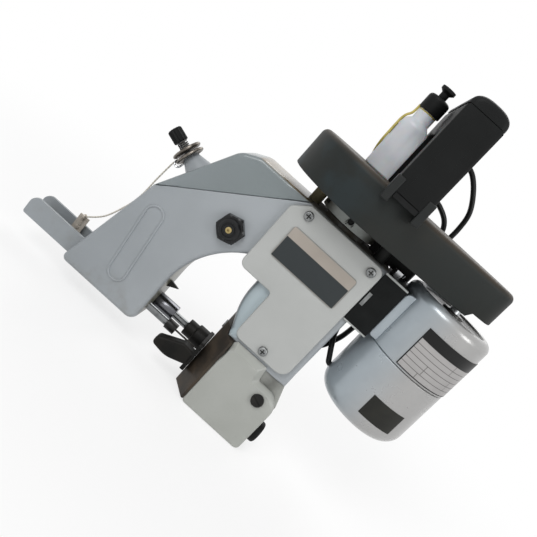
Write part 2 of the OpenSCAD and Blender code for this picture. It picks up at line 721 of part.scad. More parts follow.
module motor_housing() {
    shoulder = 7;
    r = motor_r;
    w = motor_wall;
    color("#B4B8BC") difference() {
        union() {
            translate([motor_x, 0, 0]) rotate_extrude()
                polygon(rounded([[0, motor_seam, 0], [r, motor_seam, 0], [r, motor_top, shoulder],
                    [0, motor_top, 0]]));
            block([bracket_x, -pad_y, motor_seam + 1], [bracket_x + 8, pad_y, bracket_top]);
        }
        translate([motor_x, 0, 0]) {
            translate([0, 0, motor_seam - 1]) cylinder(r = r - w, h = motor_top - motor_seam - w);
            cylinder(r = motor_shaft_r + run, h = cover_top);
            translate([0, 0, motor_top - 2]) difference() {
                cylinder(r = r - shoulder - 2, h = 4);
                cylinder(r = motor_shaft_r + 5, h = 4);
            }
        }
        for (y = [-pad_bolt_y, pad_bolt_y]) along_x(y, pad_bolt_z, bolt_r + run, bracket_x - 1, bracket_x + 6);
    }
}
module motor_end_cap() {
    r = motor_r;
    w = motor_wall;
    round = 14;
    color("#B4B8BC") translate([motor_x, 0, 0]) difference() {
        rotate_extrude() polygon(rounded([[0, motor_z, 0], [r, motor_z, round], [r, motor_seam, 0],
            [0, motor_seam, 0]]));
        rotate_extrude() polygon(rounded([[0, motor_z + w + 5, 0], [r - w, motor_z + w + 5, round - w],
            [r - w, motor_seam + 1, 0], [0, motor_seam + 1, 0]]));
        translate([0, 0, motor_z + 5]) cylinder(r = motor_shaft_r + run, h = w + 2);
    }
}
label_t = 0.5;
label_turn = 96;
module rating_plate() {
    start = -109;
    color("#D0CAC8") translate([motor_x, 0, motor_seam + 2]) rotate(start) rotate_extrude(angle = label_turn)
        translate([motor_r + run, 0]) square([label_t, 35]);
}
module motor_bracket() {
    y = max(pad_y, -front) + 2;
    web = bracket_x - bracket_t;
    edge = frame_right + 0.8;
    flange_w = 5;
    color("#3A3C3E") difference() {
        union() {
            block([edge, -y, bracket_z], [bracket_x, y, bracket_top]);
            block([frame_right - flange_w, -y, bracket_z], [edge + 1, front, bracket_top]);
        }
        block([edge - 1, -y + bracket_t, bracket_z + bracket_t], [web, y + 1, bracket_top - bracket_t]);
        translate([bracket_bolt_x, 0, bracket_z - 1])
            cylinder(r = bolt_r + run, h = bracket_top - bracket_z + 2);
        for (s = [-pad_bolt_y, pad_bolt_y]) along_x(s, pad_bolt_z, bolt_r + run, web - 1, bracket_x + 1);
    }
}
module hex_bolt(shank) {
    translate([0, 0, -shank]) cylinder(r = bolt_r, h = shank);
    cylinder(r = bolt_head_r, h = bolt_head_h, $fn = 6);
}
module bracket_bolts() {
    web = bracket_x - bracket_t;
    color(steel) {
        translate([bracket_bolt_x, 0, bracket_top]) hex_bolt(16);
        translate([bracket_bolt_x, 0, bracket_z]) rotate([180, 0, 0]) hex_bolt(16);
        for (y = [-pad_bolt_y, pad_bolt_y]) translate([web, y, pad_bolt_z]) rotate([0, -90, 0])
            hex_bolt(bracket_t + 5);
    }
}

// Belt cover
cover_cut = motor_x + 4;
post_r = 5;
hub_clear = 0.8;
rib_t = 4;
posts = [[8, -14], [8, 14], [-shaft_x - hub_r - hub_clear - post_r, 0]];
module belt_cover() {
    color(black) difference() {
        translate([0, 0, cover_z]) linear_extrude(cover_top - cover_z) egg(cover_big_r, cover_small_r);
        translate([0, 0, cover_z - 1]) linear_extrude(cover_top - cover_z - cover_wall + 1)
            egg(cover_big_r - cover_wall, cover_small_r - cover_wall);
        block([cover_cut, -cover_big_r, cover_z - 1], [cover_cut + 60, cover_big_r, base_z]);
    }
}
module belt_cover_base() {
    color("#3A3C3E") {
        difference() {
            translate([0, 0, base_z]) linear_extrude(base_t)
                egg(cover_big_r - cover_wall - run, cover_small_r - cover_wall - run);
            translate([-shaft_x, 0, base_z - 1]) cylinder(r = hub_r + 2, h = base_t + 2);
            translate([motor_x, 0, base_z - 1]) cylinder(r = motor_shaft_r + 3, h = base_t + 2);
        }
        for (p = posts) translate([p.x, p.y, frame_top]) cylinder(r = post_r, h = base_z - frame_top);
        block([hub_r - shaft_x + 0.5, posts[1].y - post_r, frame_top],
            [bracket_x - 1, posts[1].y - post_r + rib_t, base_z]);
    }
}

// Handle and switch
grip_lo = -handle_x - handle_w / 2;
grip_hi = -handle_x + handle_w / 2;
trigger_y = [-36, -14];
trigger_w = 11;
gland_z = handle_part - 11;
function crown(d) = [for (a = [0:12:180])
    [-handle_x + (handle_w / 2 - d) * cos(a), handle_part + (crown_h - d) * sin(a)]];
module handle_posts() {
    apron = 4;
    tab_w = 6;
    tab_out = 1.2;
    tab_z = [cover_top - 9, cover_top + 10];
    inside = -cover_big_r + 12;
    color(black) {
        block([grip_lo, handle_rear - post_t, cover_top], [grip_hi, handle_rear, grip_z]);
        block([grip_lo, -handle_front, cover_top], [grip_hi, -handle_front + post_t, grip_z]);
        difference() {
            union() {
                block([grip_lo, -handle_front, cover_top - apron], [grip_hi, inside, cover_top]);
                for (x = [grip_lo - tab_out, grip_hi + tab_out - tab_w])
                    block([x, -handle_front - 0.8, tab_z[0]], [x + tab_w, inside, tab_z[1]]);
            }
            linear_extrude(cover_top) egg(cover_big_r, cover_small_r);
        }
    }
}
module handle_body() {
    w = handle_wall;
    color(black) difference() {
        block([grip_lo, -handle_front, grip_z], [grip_hi, handle_rear, handle_part]);
        block([grip_lo + w, -handle_front + w, grip_z + w], [grip_hi - w, handle_rear - w, handle_part + 1]);
        block([-handle_x - trigger_w / 2 - gap, trigger_y[0] - gap, grip_z - 1],
            [-handle_x + trigger_w / 2 + gap, trigger_y[1] + gap, grip_z + w + 1]);
        along_y(-handle_x, gland_z, gland_bore / 2 + 2 + run, handle_rear - w - 1, handle_rear + 1);
    }
}
module handle_cap() {
    color(black) difference() {
        slab(crown(0), -handle_front, handle_rear);
        slab(crown(handle_wall), -handle_front + handle_wall, handle_rear - handle_wall);
    }
}
trigger_top = grip_z + handle_wall + 3;
module switch_trigger() {
    color("#3A3C3E") {
        block([-handle_x - trigger_w / 2, trigger_y[0], grip_z - trigger_travel - 2],
            [-handle_x + trigger_w / 2, trigger_y[1], grip_z + handle_wall + gap]);
        block([-handle_x - trigger_w / 2 - 2, trigger_y[0] - 2, grip_z + handle_wall + gap],
            [-handle_x + trigger_w / 2 + 2, trigger_y[1] + 2, trigger_top]);
    }
}
module switch_body() {
    color("#4A4C50") block([grip_lo + handle_wall, trigger_y[0] - 4, trigger_top + trigger_travel + gap],
        [grip_hi - handle_wall, trigger_y[1] + 4, handle_part]);
}
module mains_gland() {
    r = gland_bore / 2;
    color(black) difference() {
        union() {
            along_y(-handle_x, gland_z, r + 2, handle_rear - handle_wall, handle_rear);
            along_y(-handle_x, gland_z, r + 4, handle_rear, handle_rear + 9);
        }
        along_y(-handle_x, gland_z, r, handle_rear - handle_wall - 1, handle_rear + 10);
    }
}

// Oil bottle
bottle_x = grip_lo - bottle_r - gap;
neck_r = 7.5;
neck_z = cover_top + bottle_h + 13;
head_r = 9.2;
head_h = 13.6;
stem_r = 3.4;
button_z = neck_z + head_h + pump_travel + 0.5;
module oil_bottle() {
    shoulder = cover_top + bottle_h;
    wall = 1.4;
    color("#D5D7DA") translate([bottle_x, bottle_y, 0]) difference() {
        rotate_extrude() polygon(rounded([[0, cover_top, 0], [bottle_r, cover_top, 1.5],
            [bottle_r, shoulder, 4], [neck_r, shoulder + 3, 2], [neck_r, neck_z, 0], [0, neck_z, 0]]));
        translate([0, 0, cover_top + wall]) cylinder(r = bottle_r - wall, h = bottle_h - 4);
        translate([0, 0, cover_top + 9]) cylinder(r = neck_r - wall, h = neck_z);
    }
}
module pump_head() {
    color(black) translate([bottle_x, bottle_y, neck_z]) difference() {
        rotate_extrude() polygon(rounded([[0, 0, 0], [head_r, 0, 1], [head_r, head_h, 3], [0, head_h, 0]]));
        translate([0, 0, head_h - 8]) cylinder(r = stem_r + run, h = 9);
    }
}
module pump_button() {
    color(black) translate([bottle_x, bottle_y, 0]) {
        translate([0, 0, neck_z + head_h - 8 + pump_travel + gap])
            cylinder(r = stem_r, h = button_z - neck_z - head_h + 8 - pump_travel - gap);
        translate([0, 0, button_z]) cylinder(r1 = stem_r, r2 = 6, h = 2);
        translate([0, 0, button_z + 2]) cylinder(r = 6, h = 2.4);
    }
}
clip_z = cover_top + 27;
clip_h = 10;
clip_open = 2.2;
module bottle_clip() {
    wall = 1.6;
    color(black) translate([bottle_x, bottle_y, clip_z]) intersection() {
        difference() {
            cylinder(r = bottle_r + run + wall, h = clip_h);
            translate([0, 0, -1]) cylinder(r = bottle_r + run, h = clip_h + 2);
        }
        block([-2 * bottle_r, clip_open, -1], [grip_lo - bottle_x, 2 * bottle_r, clip_h + 1]);
    }
}

// Oil tube, leads and thread: routes chosen by hand
oil_tube_r = 1;
oil_route = [[bottle_x - neck_r - oil_tube_r - 0.1, bottle_y, neck_z + 1], [-45.7, 16, 281],
    [-46.4, 16, 276.8], [-48.6, 16, 273], [-49.6, 16, 269], [-49.8, 16, 264], [-49.8, 16, 256],
    [-49.7, 17.2, 249], [-49.1, 20.5, 242.5], [-48, 24.8, 237], [-46.9, 28.4, 232.5],
    [-46.2, 30.4, cover_top]];
lead_r = 2.25;
switch_route = [[grip_hi, 50, 280], [12, 50, 279], [23, 50, 275], [34, 51, 265], [43, 53, 252], [46, 55, 238],
    [46, 55, 222], [45, 53, 200], [44, 50, 175], [42, 45, 150], [38, 34, 126], [34, 22, 112],
    [29, 14, 103], [26, 12, 98], [frame_right, 12, 96]];
motor_route = [[grip_hi, 50, 243], [12, 50, 242], [22, 51, 240], [33, 54, 234], [39, 57, 224], [40, 58, 208],
    [37, 56, 185], [32, 48, 160], [28, 37, 138], [25.5, 24, 124], [26, 10, 114], [30, 3, 106],
    [35, 0, 98], [37, 0, 95], [motor_x - motor_r, 0, 94]];
thread_r = 0.7;
thread_route = [for (p = [[18.7, -0.2, 133.5], [17.5, -1, 128], [16, -2, 112], [15, -3, 95], [11.5, -3, 80],
    [2.5, -2, 60], [-10.5, 0, 47]]) p - [arm_reach, 0, 0]];
module oil_tube() {
    color("#D8C878") tube(spline(oil_route, 3), oil_tube_r, 8);
}
module switch_lead() {
    color(black) tube(spline(switch_route, 3), lead_r, 8);
}
module motor_lead() {
    color(black) tube(spline(motor_route, 3), lead_r, 8);
}
module needle_thread() {
    color("#C8C2B4") tube(spline(thread_route, 3), thread_r, 8);
}

// Needle bar and presser foot
needle_tail = arm_reach + 37.5;
guard_l = 47.5;
guard_w = 24;
guard_wall = 2.5;
guard_z = needle_z - 7.5;
block_l = 12;
module needle_bar() {
    color(steel) {
        along_x(needle_y, needle_z, needle_bar_r, -needle_tail, -clamp_face - clamp_l);
        along_x(needle_y, needle_z, needle_bar_r + 2.8, -drive_pin_x - block_l / 2, -drive_pin_x + block_l / 2);
        along_y(-drive_pin_x, needle_z, drive_pin_r, lever_y - 1.5, needle_y);
    }
}
module needle_clamp() {
    color(black) along_x(needle_y, needle_z, clamp_r, -clamp_face - clamp_l, -clamp_face);
}
module needle() {
    point = 5;
    color(steel) translate([-clamp_face, needle_y, needle_z]) rotate([0, 90, 0]) {
        cylinder(r = needle_r, h = needle_l - point);
        translate([0, 0, needle_l - point]) cylinder(r1 = needle_r, r2 = 0.15, h = point);
    }
}
bar_stop = boss_face + presser_spring_l + 2 * gap;
collar_x = [-65.5, -57];
presser_end = -52;
sole_x = throat_plate_x - sole_gap;
module presser_bar() {
    color(steel) {
        along_x(presser_y, presser_z, presser_bar_r, boss_face - 1.5, presser_end);
        along_x(presser_y, presser_z, presser_bar_r + 2.75, bar_stop, bar_stop + 4);
    }
}
module presser_spring() {
    color(steel) difference() {
        along_x(presser_y, presser_z, presser_bar_r + 2.75, boss_face + gap, bar_stop - gap);
        along_x(presser_y, presser_z, presser_bar_r + 1, boss_face, bar_stop);
    }
}
module presser_foot() {
    back = sole_x - sole_t;
    toe = [[-76.8, 14.9, 3.4], [-62, 12.9, 22], [back, 18.5, 6], [sole_x, 21.5, 2], [sole_x, 31, 0],
        [-56, 32.5, 6], [-76.8, 22.3, 3.4]];
    color(black) difference() {
        union() {
            along_x(presser_y, presser_z, foot_collar_r - 1.7, collar_x[0], collar_x[1]);
            along_x(presser_y, presser_z, foot_collar_r, collar_x[1], back);
            block([back, -20, 14], [sole_x, 20, presser_z + foot_collar_r]);
            slab(rounded(toe), -20, needle_y - clamp_r - gap);
        }
        along_x(presser_y, presser_z, presser_bar_r + run, collar_x[0] - 1, presser_end);
        block([back - 1, needle_y - clamp_r - gap, 12],
            [sole_x + 1, needle_y + clamp_r + gap, needle_z + clamp_r + gap]);
    }
}
module bar_bushing() {
    color(steel) difference() {
        union() {
            along_x(presser_y, presser_z, bushing_r, -arm_throat, -arm_throat + bushing_l);
            along_x(presser_y, presser_z, bushing_r - 1.5, arm_in, -arm_throat);
        }
        along_x(presser_y, presser_z, presser_bar_r + run, arm_in - 1, 0);
    }
}
module needle_guard() {
    lo = [-arm_reach - guard_l, needle_y - guard_w / 2, guard_z];
    hi = [14 - arm_reach, needle_y + guard_w / 2, needle_z + 10];
    side = [[lo.x, lo.z, 2], [hi.x, lo.z, 0], [hi.x, hi.z, 0], [lo.x, hi.z, 7]];
    color(paint) difference() {
        slab(rounded(side), lo.y, hi.y);
        block([lo.x - 1, lo.y + guard_wall, lo.z + guard_wall], [hi.x, hi.y - guard_wall, hi.z + 1]);
        slab(rounded(frame_outline), front, rear);
    }
}
module thread_guide() {
    eye = thread_route[len(thread_route) - 1];
    sheet = 1.5;
    half_w = 4.5;
    face = eye.y + 1.5;
    rivet_step = 3.6;
    rivet_r = 1.5;
    ring_wire_r = 1;
    color(steel) {
        block([eye.x - half_w, face, guard_z + guard_wall], [eye.x + half_w, face + sheet, eye.z]);
        translate(eye) rotate([0, 90, 0]) rotate_extrude()
            translate([thread_r + 0.9 * ring_wire_r, 0]) circle(r = ring_wire_r, $fn = 24);
        for (k = [1:3]) along_y(eye.x, eye.z - rivet_step * k, rivet_r, face - 0.8, face + sheet);
    }
}
module thread_knife() {
    color(black) slab([[-arm_throat, 51], [-arm_throat + 9, 55.5], [-arm_throat, 57.5]], -1, 1);
}

// Thread tension
tension_p = [21.7 - arm_reach, 0, 142.8];
stud_r = 2.5;
disc_gap = thread_r - 0.05;
disc_t = 2.2;
spring_z = [disc_gap + disc_t - 0.05, 10];
spring_r = 4;
module on_tension() {
    translate(tension_p) rotate([0, tension_tilt - 90, 0]) children();
}
module tension_post() {
    color(paint) {
        difference() {
            on_tension() translate([0, 0, -tension_post_l])
                cylinder(r1 = tension_foot_r, r2 = tension_neck_r, h = tension_post_l - disc_gap - disc_t);
            slab(rounded(top_cover_outline), front, rear);
            slab([[seam.x, seam.y], [seam_top, frame_top], [seam_top, seam.y]], front, rear);
        }
        on_tension() translate([0, 0, -disc_gap - disc_t])
            cylinder(r = stud_r, h = disc_gap + disc_t + spring_z[1] + knob_l - 2 - gap);
    }
}
module tension_discs() {
    color("#8E8880") on_tension() for (z = [-disc_gap - disc_t, disc_gap]) translate([0, 0, z]) difference() {
        cylinder(r = disc_r, h = disc_t);
        translate([0, 0, -1]) cylinder(r = stud_r + run, h = disc_t + 2);
    }
}
// A helix of round wire, from the outer disc to the knob
spring_span = spring_z[1] - spring_z[0] - 2 * spring_wire_r - 0.3;
function helix(n) = [for (i = [0:n]) let (a = 360 * spring_turns * i / n)
    [spring_r * cos(a), spring_r * sin(a), spring_z[0] + spring_wire_r + spring_span * i / n]];
spring_points = helix(8 * spring_turns);
spring_gap = min([for (i = [0:len(spring_points) - 1]) for (j = [i + 5:1:len(spring_points) - 1])
    norm(spring_points[i] - spring_points[j])]) - 2 * spring_wire_r;
echo(spring_gap = spring_gap);
module tension_spring() {
    color(steel) on_tension() tube(spring_points, spring_wire_r, 6);
}
module tension_knob() {
    ridges = 12;
    color(black) on_tension() translate([0, 0, spring_z[1]]) difference() {
        union() {
            cylinder(r = knob_r, h = knob_l);
            for (i = [0:ridges - 1]) rotate(360 * i / ridges) translate([knob_r, 0, 1])
                cylinder(r = 0.8, h = knob_l - 2);
        }
        translate([0, 0, -1]) cylinder(r = stud_r + run, h = knob_l - 1);
    }
}

looper_housing();
looper_cover();
looper_pin();
looper();
feed_dog();
throat_plate();
rubber_bumper();
frame_casting();
arm_top_cover();
side_plate();
cover_screws();
nameplate();
rear_cover();
rocker_shaft();
pivot_nut();
oil_plug();
rocker_lever();
connecting_rod();
main_shaft();
main_bearings();
machine_pulley();
drive_belt();
motor_pulley();
motor_armature();
motor_stator();
motor_housing();
motor_end_cap();
rating_plate();
motor_bracket();
bracket_bolts();
belt_cover();
belt_cover_base();
handle_posts();
handle_body();
handle_cap();
switch_trigger();
switch_body();
mains_gland();
oil_bottle();
pump_head();
pump_button();
bottle_clip();
oil_tube();
switch_lead();
motor_lead();
needle_bar();
needle_clamp();
needle();
presser_bar();
presser_foot();
bar_bushing();
presser_spring();
needle_guard();
tension_post();
tension_discs();
tension_spring();
tension_knob();
thread_guide();
thread_knife();
needle_thread();
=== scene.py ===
import math
import bmesh
import bpy
import numpy as np
from mathutils import Matrix, Vector


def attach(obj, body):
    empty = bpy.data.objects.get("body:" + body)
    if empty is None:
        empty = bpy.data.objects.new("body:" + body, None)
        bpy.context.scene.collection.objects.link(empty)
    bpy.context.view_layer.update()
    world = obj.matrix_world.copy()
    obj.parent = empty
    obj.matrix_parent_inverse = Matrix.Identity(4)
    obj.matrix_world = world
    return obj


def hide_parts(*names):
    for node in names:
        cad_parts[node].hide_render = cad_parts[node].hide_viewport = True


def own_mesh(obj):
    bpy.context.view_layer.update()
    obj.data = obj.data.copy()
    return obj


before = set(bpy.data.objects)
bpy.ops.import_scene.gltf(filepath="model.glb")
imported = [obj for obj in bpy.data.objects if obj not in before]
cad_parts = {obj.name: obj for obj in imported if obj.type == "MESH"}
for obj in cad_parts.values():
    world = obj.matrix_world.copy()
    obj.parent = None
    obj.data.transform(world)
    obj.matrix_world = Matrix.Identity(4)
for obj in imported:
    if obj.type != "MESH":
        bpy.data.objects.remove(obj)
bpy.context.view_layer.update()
scene = bpy.context.scene
mm = 0.001
print("frame loaded", len(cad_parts), "nodes")

# camera: a tilted and rolled view of the machine standing on its foot
cameraSet = dict(eye=(-47.3, -493.0, 236.3), down=13.5, roll=42.3, lens=43.6, sensor=36)


def addCamera(s):
    # looks along Y, tipped down, then rolled about its own axis
    down, roll = math.radians(s["down"]), math.radians(s["roll"])
    ahead = Vector((0, math.cos(down), -math.sin(down)))
    side, up = Vector((1, 0, 0)), Vector((0, math.sin(down), math.cos(down)))
    right = side * math.cos(roll) + up * math.sin(roll)
    top = up * math.cos(roll) - side * math.sin(roll)
    data = bpy.data.cameras.new("camera")
    data.lens, data.sensor_width = s["lens"], s["sensor"]
    cam = bpy.data.objects.new("camera", data)
    turn = Matrix((right, top, -ahead)).transposed().to_4x4()
    cam.matrix_world = Matrix.Translation(Vector(s["eye"]) * mm) @ turn
    scene.collection.objects.link(cam)
    scene.camera = cam


addCamera(cameraSet)


# mesh tools, all in millimetres until the mesh is made

def shadeSmooth(mesh, sharp):
    # smooth faces; edges over the angle stay sharp
    mesh.polygons.foreach_set("use_smooth", np.ones(len(mesh.polygons), bool))
    mesh.set_sharp_from_angle(angle=math.radians(sharp))


def roundEdges(piece, width, segments, angle):
    # a small round on each edge over the angle
    cut = piece.modifiers.new("edge", "BEVEL")
    cut.width, cut.segments, cut.limit_method = width * mm, segments, "ANGLE"
    cut.angle_limit = math.radians(angle)


def makePiece(name, verts, faces, body, nodes=(), slot=None, sharp=35, bevel=0.0):
    # verts is an n by 3 array and faces a list of index lists; doubles are merged and faces turned outwards
    mesh = bpy.data.meshes.new(name)
    mesh.from_pydata((np.asarray(verts, float) * mm).tolist(), [], [list(f) for f in faces])
    bm = bmesh.new()
    bm.from_mesh(mesh)
    bmesh.ops.remove_doubles(bm, verts=bm.verts, dist=1e-6)
    bmesh.ops.recalc_face_normals(bm, faces=bm.faces)
    bm.to_mesh(mesh)
    bm.free()
    shadeSmooth(mesh, sharp)
    piece = bpy.data.objects.new(name, mesh)
    scene.collection.objects.link(piece)
    if bevel:
        roundEdges(piece, bevel, 3, 40)
    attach(piece, body)
    if nodes:
        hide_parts(*nodes)
    return piece


def ringFaces(rings, count, closed=True, first=0):
    # quads between neighbouring rings of a grid, as one array
    span = count if closed else count - 1
    i, k = np.meshgrid(np.arange(rings - 1), np.arange(span), indexing="ij")
    n = (k + 1) % count
    quads = np.stack([i * count + k, i * count + n, (i + 1) * count + n, (i + 1) * count + k], -1)
    return (quads.reshape(-1, 4) + first).tolist()


def ringMesh(rings):
    # a closed body: rings of equal count joined by quads, with one flat face over each end
    n, m = len(rings), len(rings[0])
    return np.concatenate(rings), ringFaces(n, m) + [list(range(m))[::-1], list(range((n - 1) * m, n * m))]


def atDepth(outline, y):
    # an outline in X and Z set at a depth, which is one value or one for each point
    return np.column_stack([outline[:, 0], np.broadcast_to(y, len(outline)), outline[:, 1]])


def cornerArc(c, i, r):
    # centre, first angle and turn of the arc of radius r that touches both sides of corner i
    a, b, d = c[i - 1, :2], c[i, :2], c[(i + 1) % len(c), :2]
    u, v = (a - b) / np.linalg.norm(a - b), (d - b) / np.linalg.norm(d - b)
    half = math.acos(np.clip(u @ v, -1, 1)) / 2
    mid = b + (u + v) / np.linalg.norm(u + v) * r / math.sin(half)
    s, e = b + u * r / math.tan(half) - mid, b + v * r / math.tan(half) - mid
    start, end = math.atan2(s[1], s[0]), math.atan2(e[1], e[0])
    return mid, start, (end - start + 3 * math.pi) % (2 * math.pi) - math.pi


def arcPoints(mid, r, start, turn, count):
    # points spread evenly along an arc
    t = start + turn * np.linspace(0, 1, count)
    return mid + r * np.stack([np.cos(t), np.sin(t)], -1)


def roundCorners(corners, step=1.2):
    # each corner (x, z, radius) becomes an arc that touches both of its sides
    c = np.asarray(corners, float)
    out = []
    for i, r in enumerate(c[:, 2]):
        if r <= 0:
            out.append(c[i:i + 1, :2])
            continue
        mid, start, turn = cornerArc(c, i, r)
        out.append(arcPoints(mid, r, start, turn, max(4, int(abs(turn) * r / step) + 2)))
    return np.concatenate(out)


def inward(outline):
    # miter direction at each point of a closed outline, pointing inwards: the sum of the two sides' normals over
    # one plus their product, held back at sharp corners
    ahead = np.roll(outline, -1, 0) - outline
    ahead /= np.maximum(np.linalg.norm(ahead, axis=1), 1e-9)[:, None]
    back = np.roll(ahead, 1, 0)
    area = np.sum(outline[:, 0] * np.roll(outline[:, 1], -1) - np.roll(outline[:, 0], -1) * outline[:, 1])
    sign = 1 if area > 0 else -1
    normal = sign * np.stack([-ahead[:, 1], ahead[:, 0]], -1)
    before = sign * np.stack([-back[:, 1], back[:, 0]], -1)
    return (normal + before) / np.maximum(0.4, 1 + np.sum(normal * before, 1))[:, None]


def edgeRings(outline, end, way, radius, angles):
    # rings that round an edge along a quarter circle: each is drawn in by r (1 - sin t) and stands r (1 - cos t)
    # from the end; the radius is one value or one for each point
    inset = inward(outline)
    r = np.broadcast_to(np.asarray(radius, float), len(outline))
    return [atDepth(outline + inset * (r * (1 - math.sin(t)))[:, None], end + way * r * (1 - math.cos(t)))
            for t in angles]


def slabMesh(outline, y0, y1, front, rear, steps=5):
    # a flat body: the outline drawn from y0 to y1, its two edges rounded by the radii front and rear
    a = np.linspace(0, math.pi / 2, steps)
    return ringMesh(edgeRings(outline, y0, 1, front, a) + edgeRings(outline, y1, -1, rear, a[::-1]))


def joinMeshes(parts):
    # several vertex and face sets as one
    verts, faces, base = [], [], 0
    for v, f in parts:
        verts.append(np.asarray(v, float))
        faces += [[i + base for i in face] for face in f]
        base += len(v)
    return np.concatenate(verts), faces


def latheMesh(profile, centre, axis="z", sides=64, ripple=None):
    # a profile of (radius, height) turned about the axis z or x; ripple scales the radius by angle
    profile = np.asarray(profile, float)
    t = np.linspace(0, 2 * math.pi, sides, endpoint=False)
    scale = np.ones(sides) if ripple is None else ripple(t)
    r = np.maximum(profile[:, :1], 1e-4) * scale
    h = np.repeat(profile[:, 1:], sides, 1)
    a, b = r * np.cos(t), r * np.sin(t)
    verts = np.stack((a, b, h) if axis == "z" else (h, a, b), -1).reshape(-1, 3) + np.asarray(centre, float)
    n = len(profile)
    faces = ringFaces(n, sides)
    shut = np.allclose(profile[0], profile[-1])
    for ring in (0, n - 1):
        if profile[ring, 0] > 0 and not shut:
            faces.append(list(range(ring * sides, (ring + 1) * sides)))
    return verts, faces


def roundProfile(corners, step=0.8):
    # an open lathe profile of (radius, height, corner radius), rounded at its inner corners
    c, far = np.asarray(corners, float), 50  # closed by two points far to one side, which are dropped again
    return roundCorners(np.vstack([c, [c[-1, 0] - far, c[-1, 1], 0], [c[0, 0] - far, c[0, 1], 0]]), step)[:-2]


def splinePoints(points, n):
    # a Catmull-Rom curve through the points, n steps to each span
    p = np.asarray(points, float)
    q = np.vstack([p[:1], p, p[-1:]])
    t = np.linspace(0, 1, n, endpoint=False)[None, :, None]
    a, b, c, d = (q[i:len(p) - 1 + i, None] for i in range(4))
    curve = 0.5 * (2 * b + (c - a) * t + (2 * a - 5 * b + 4 * c - d) * t ** 2
                   + (3 * b - a - 3 * c + d) * t ** 3)
    return np.vstack([curve.reshape(-1, 3), p[-1:]])


def runAlong(path):
    # length along a path, from its start to each of its points
    return np.concatenate([[0], np.cumsum(np.linalg.norm(np.diff(path, axis=0), axis=1))])


plyDip = 0.28  # how deep the groove between a thread's two plies is, as a share of its radius


def tubeMesh(path, radius, sides=16, lay=(0.3, 0.9, 0.2), pitch=None):
    # a round profile carried along a path, each ring square to the path's direction; with a pitch the profile is
    # two plies, and turns once in that length
    ahead = np.gradient(path, axis=0)
    ahead /= np.linalg.norm(ahead, axis=1)[:, None]
    u = np.cross(np.asarray(lay, float), ahead)
    u /= np.linalg.norm(u, axis=1)[:, None]
    v = np.cross(ahead, u)
    t = np.linspace(0, 2 * math.pi, sides, endpoint=False)[None, :, None]
    if pitch:
        plies = np.abs(np.cos(t - 2 * math.pi * runAlong(path)[:, None, None] / pitch))
        radius = radius * (1 - plyDip + plyDip * plies)
    return ringMesh(list(path[:, None] + radius * (u[:, None] * np.cos(t) + v[:, None] * np.sin(t))))


def boxMesh(lo, hi):
    # a box from its lowest to its highest corner
    lo, hi = np.asarray(lo, float), np.asarray(hi, float)
    pick = np.array([[0, 0, 0], [1, 0, 0], [1, 1, 0], [0, 1, 0], [0, 0, 1], [1, 0, 1], [1, 1, 1], [0, 1, 1]])
    faces = [[0, 3, 2, 1], [4, 5, 6, 7], [0, 1, 5, 4], [1, 2, 6, 5], [2, 3, 7, 6], [3, 0, 4, 7]]
    return lo + (hi - lo) * pick, faces


# finishes

def hexColour(code):
    # an sRGB hex code as linear values
    v = np.array([int(code[i:i + 2], 16) for i in (0, 2, 4)]) / 255
    lin = np.where(v <= 0.04045, v / 12.92, ((v + 0.055) / 1.055) ** 2.4)
    return (*lin.tolist(), 1.0)


def feed(tree, socket, value):
    # links an output to a socket, or sets the socket to a number or to the colour of a hex code
    if isinstance(value, bpy.types.NodeSocket):
        tree.links.new(value, socket)
    else:
        socket.default_value = hexColour(value) if isinstance(value, str) else value


def mixNode(tree, a, b, fac):
    # a colour mix from a to b
    n = tree.nodes.new("ShaderNodeMix")
    n.data_type = "RGBA"
    for key, value in ((6, a), (7, b), (0, fac)):
        feed(tree, n.inputs[key], value)
    return n.outputs[2]


def mathNode(tree, op, a, b=0.0, clamp=False):
    # one sum, difference, larger value and so on, of sockets or numbers
    n = tree.nodes.new("ShaderNodeMath")
    n.operation, n.use_clamp = op, clamp
    for key, value in enumerate((a, b)):
        feed(tree, n.inputs[key], value)
    return n.outputs[0]


def times(tree, first, *others):
    # the product of sockets or numbers
    for value in others:
        first = mathNode(tree, "MULTIPLY", first, value)
    return first


def rampNode(tree, value, low, high, outLow=0.0, outHigh=1.0):
    # a smooth step from low to high
    n = tree.nodes.new("ShaderNodeMapRange")
    n.interpolation_type = "SMOOTHSTEP"
    for key, v in enumerate((value, low, high, outLow, outHigh)):
        feed(tree, n.inputs[key], v)
    return n.outputs[0]


def noiseNode(tree, vector, scale, detail=4.0, rough=0.55):
    # soft noise about 0.5
    n = tree.nodes.new("ShaderNodeTexNoise")
    for key, value in (("Vector", vector), ("Scale", scale), ("Detail", detail), ("Roughness", rough)):
        feed(tree, n.inputs[key], value)
    return n.outputs[0]


def objectPoint(tree):
    # the piece's own coordinates, in metres
    return tree.nodes.new("ShaderNodeTexCoord").outputs["Object"]


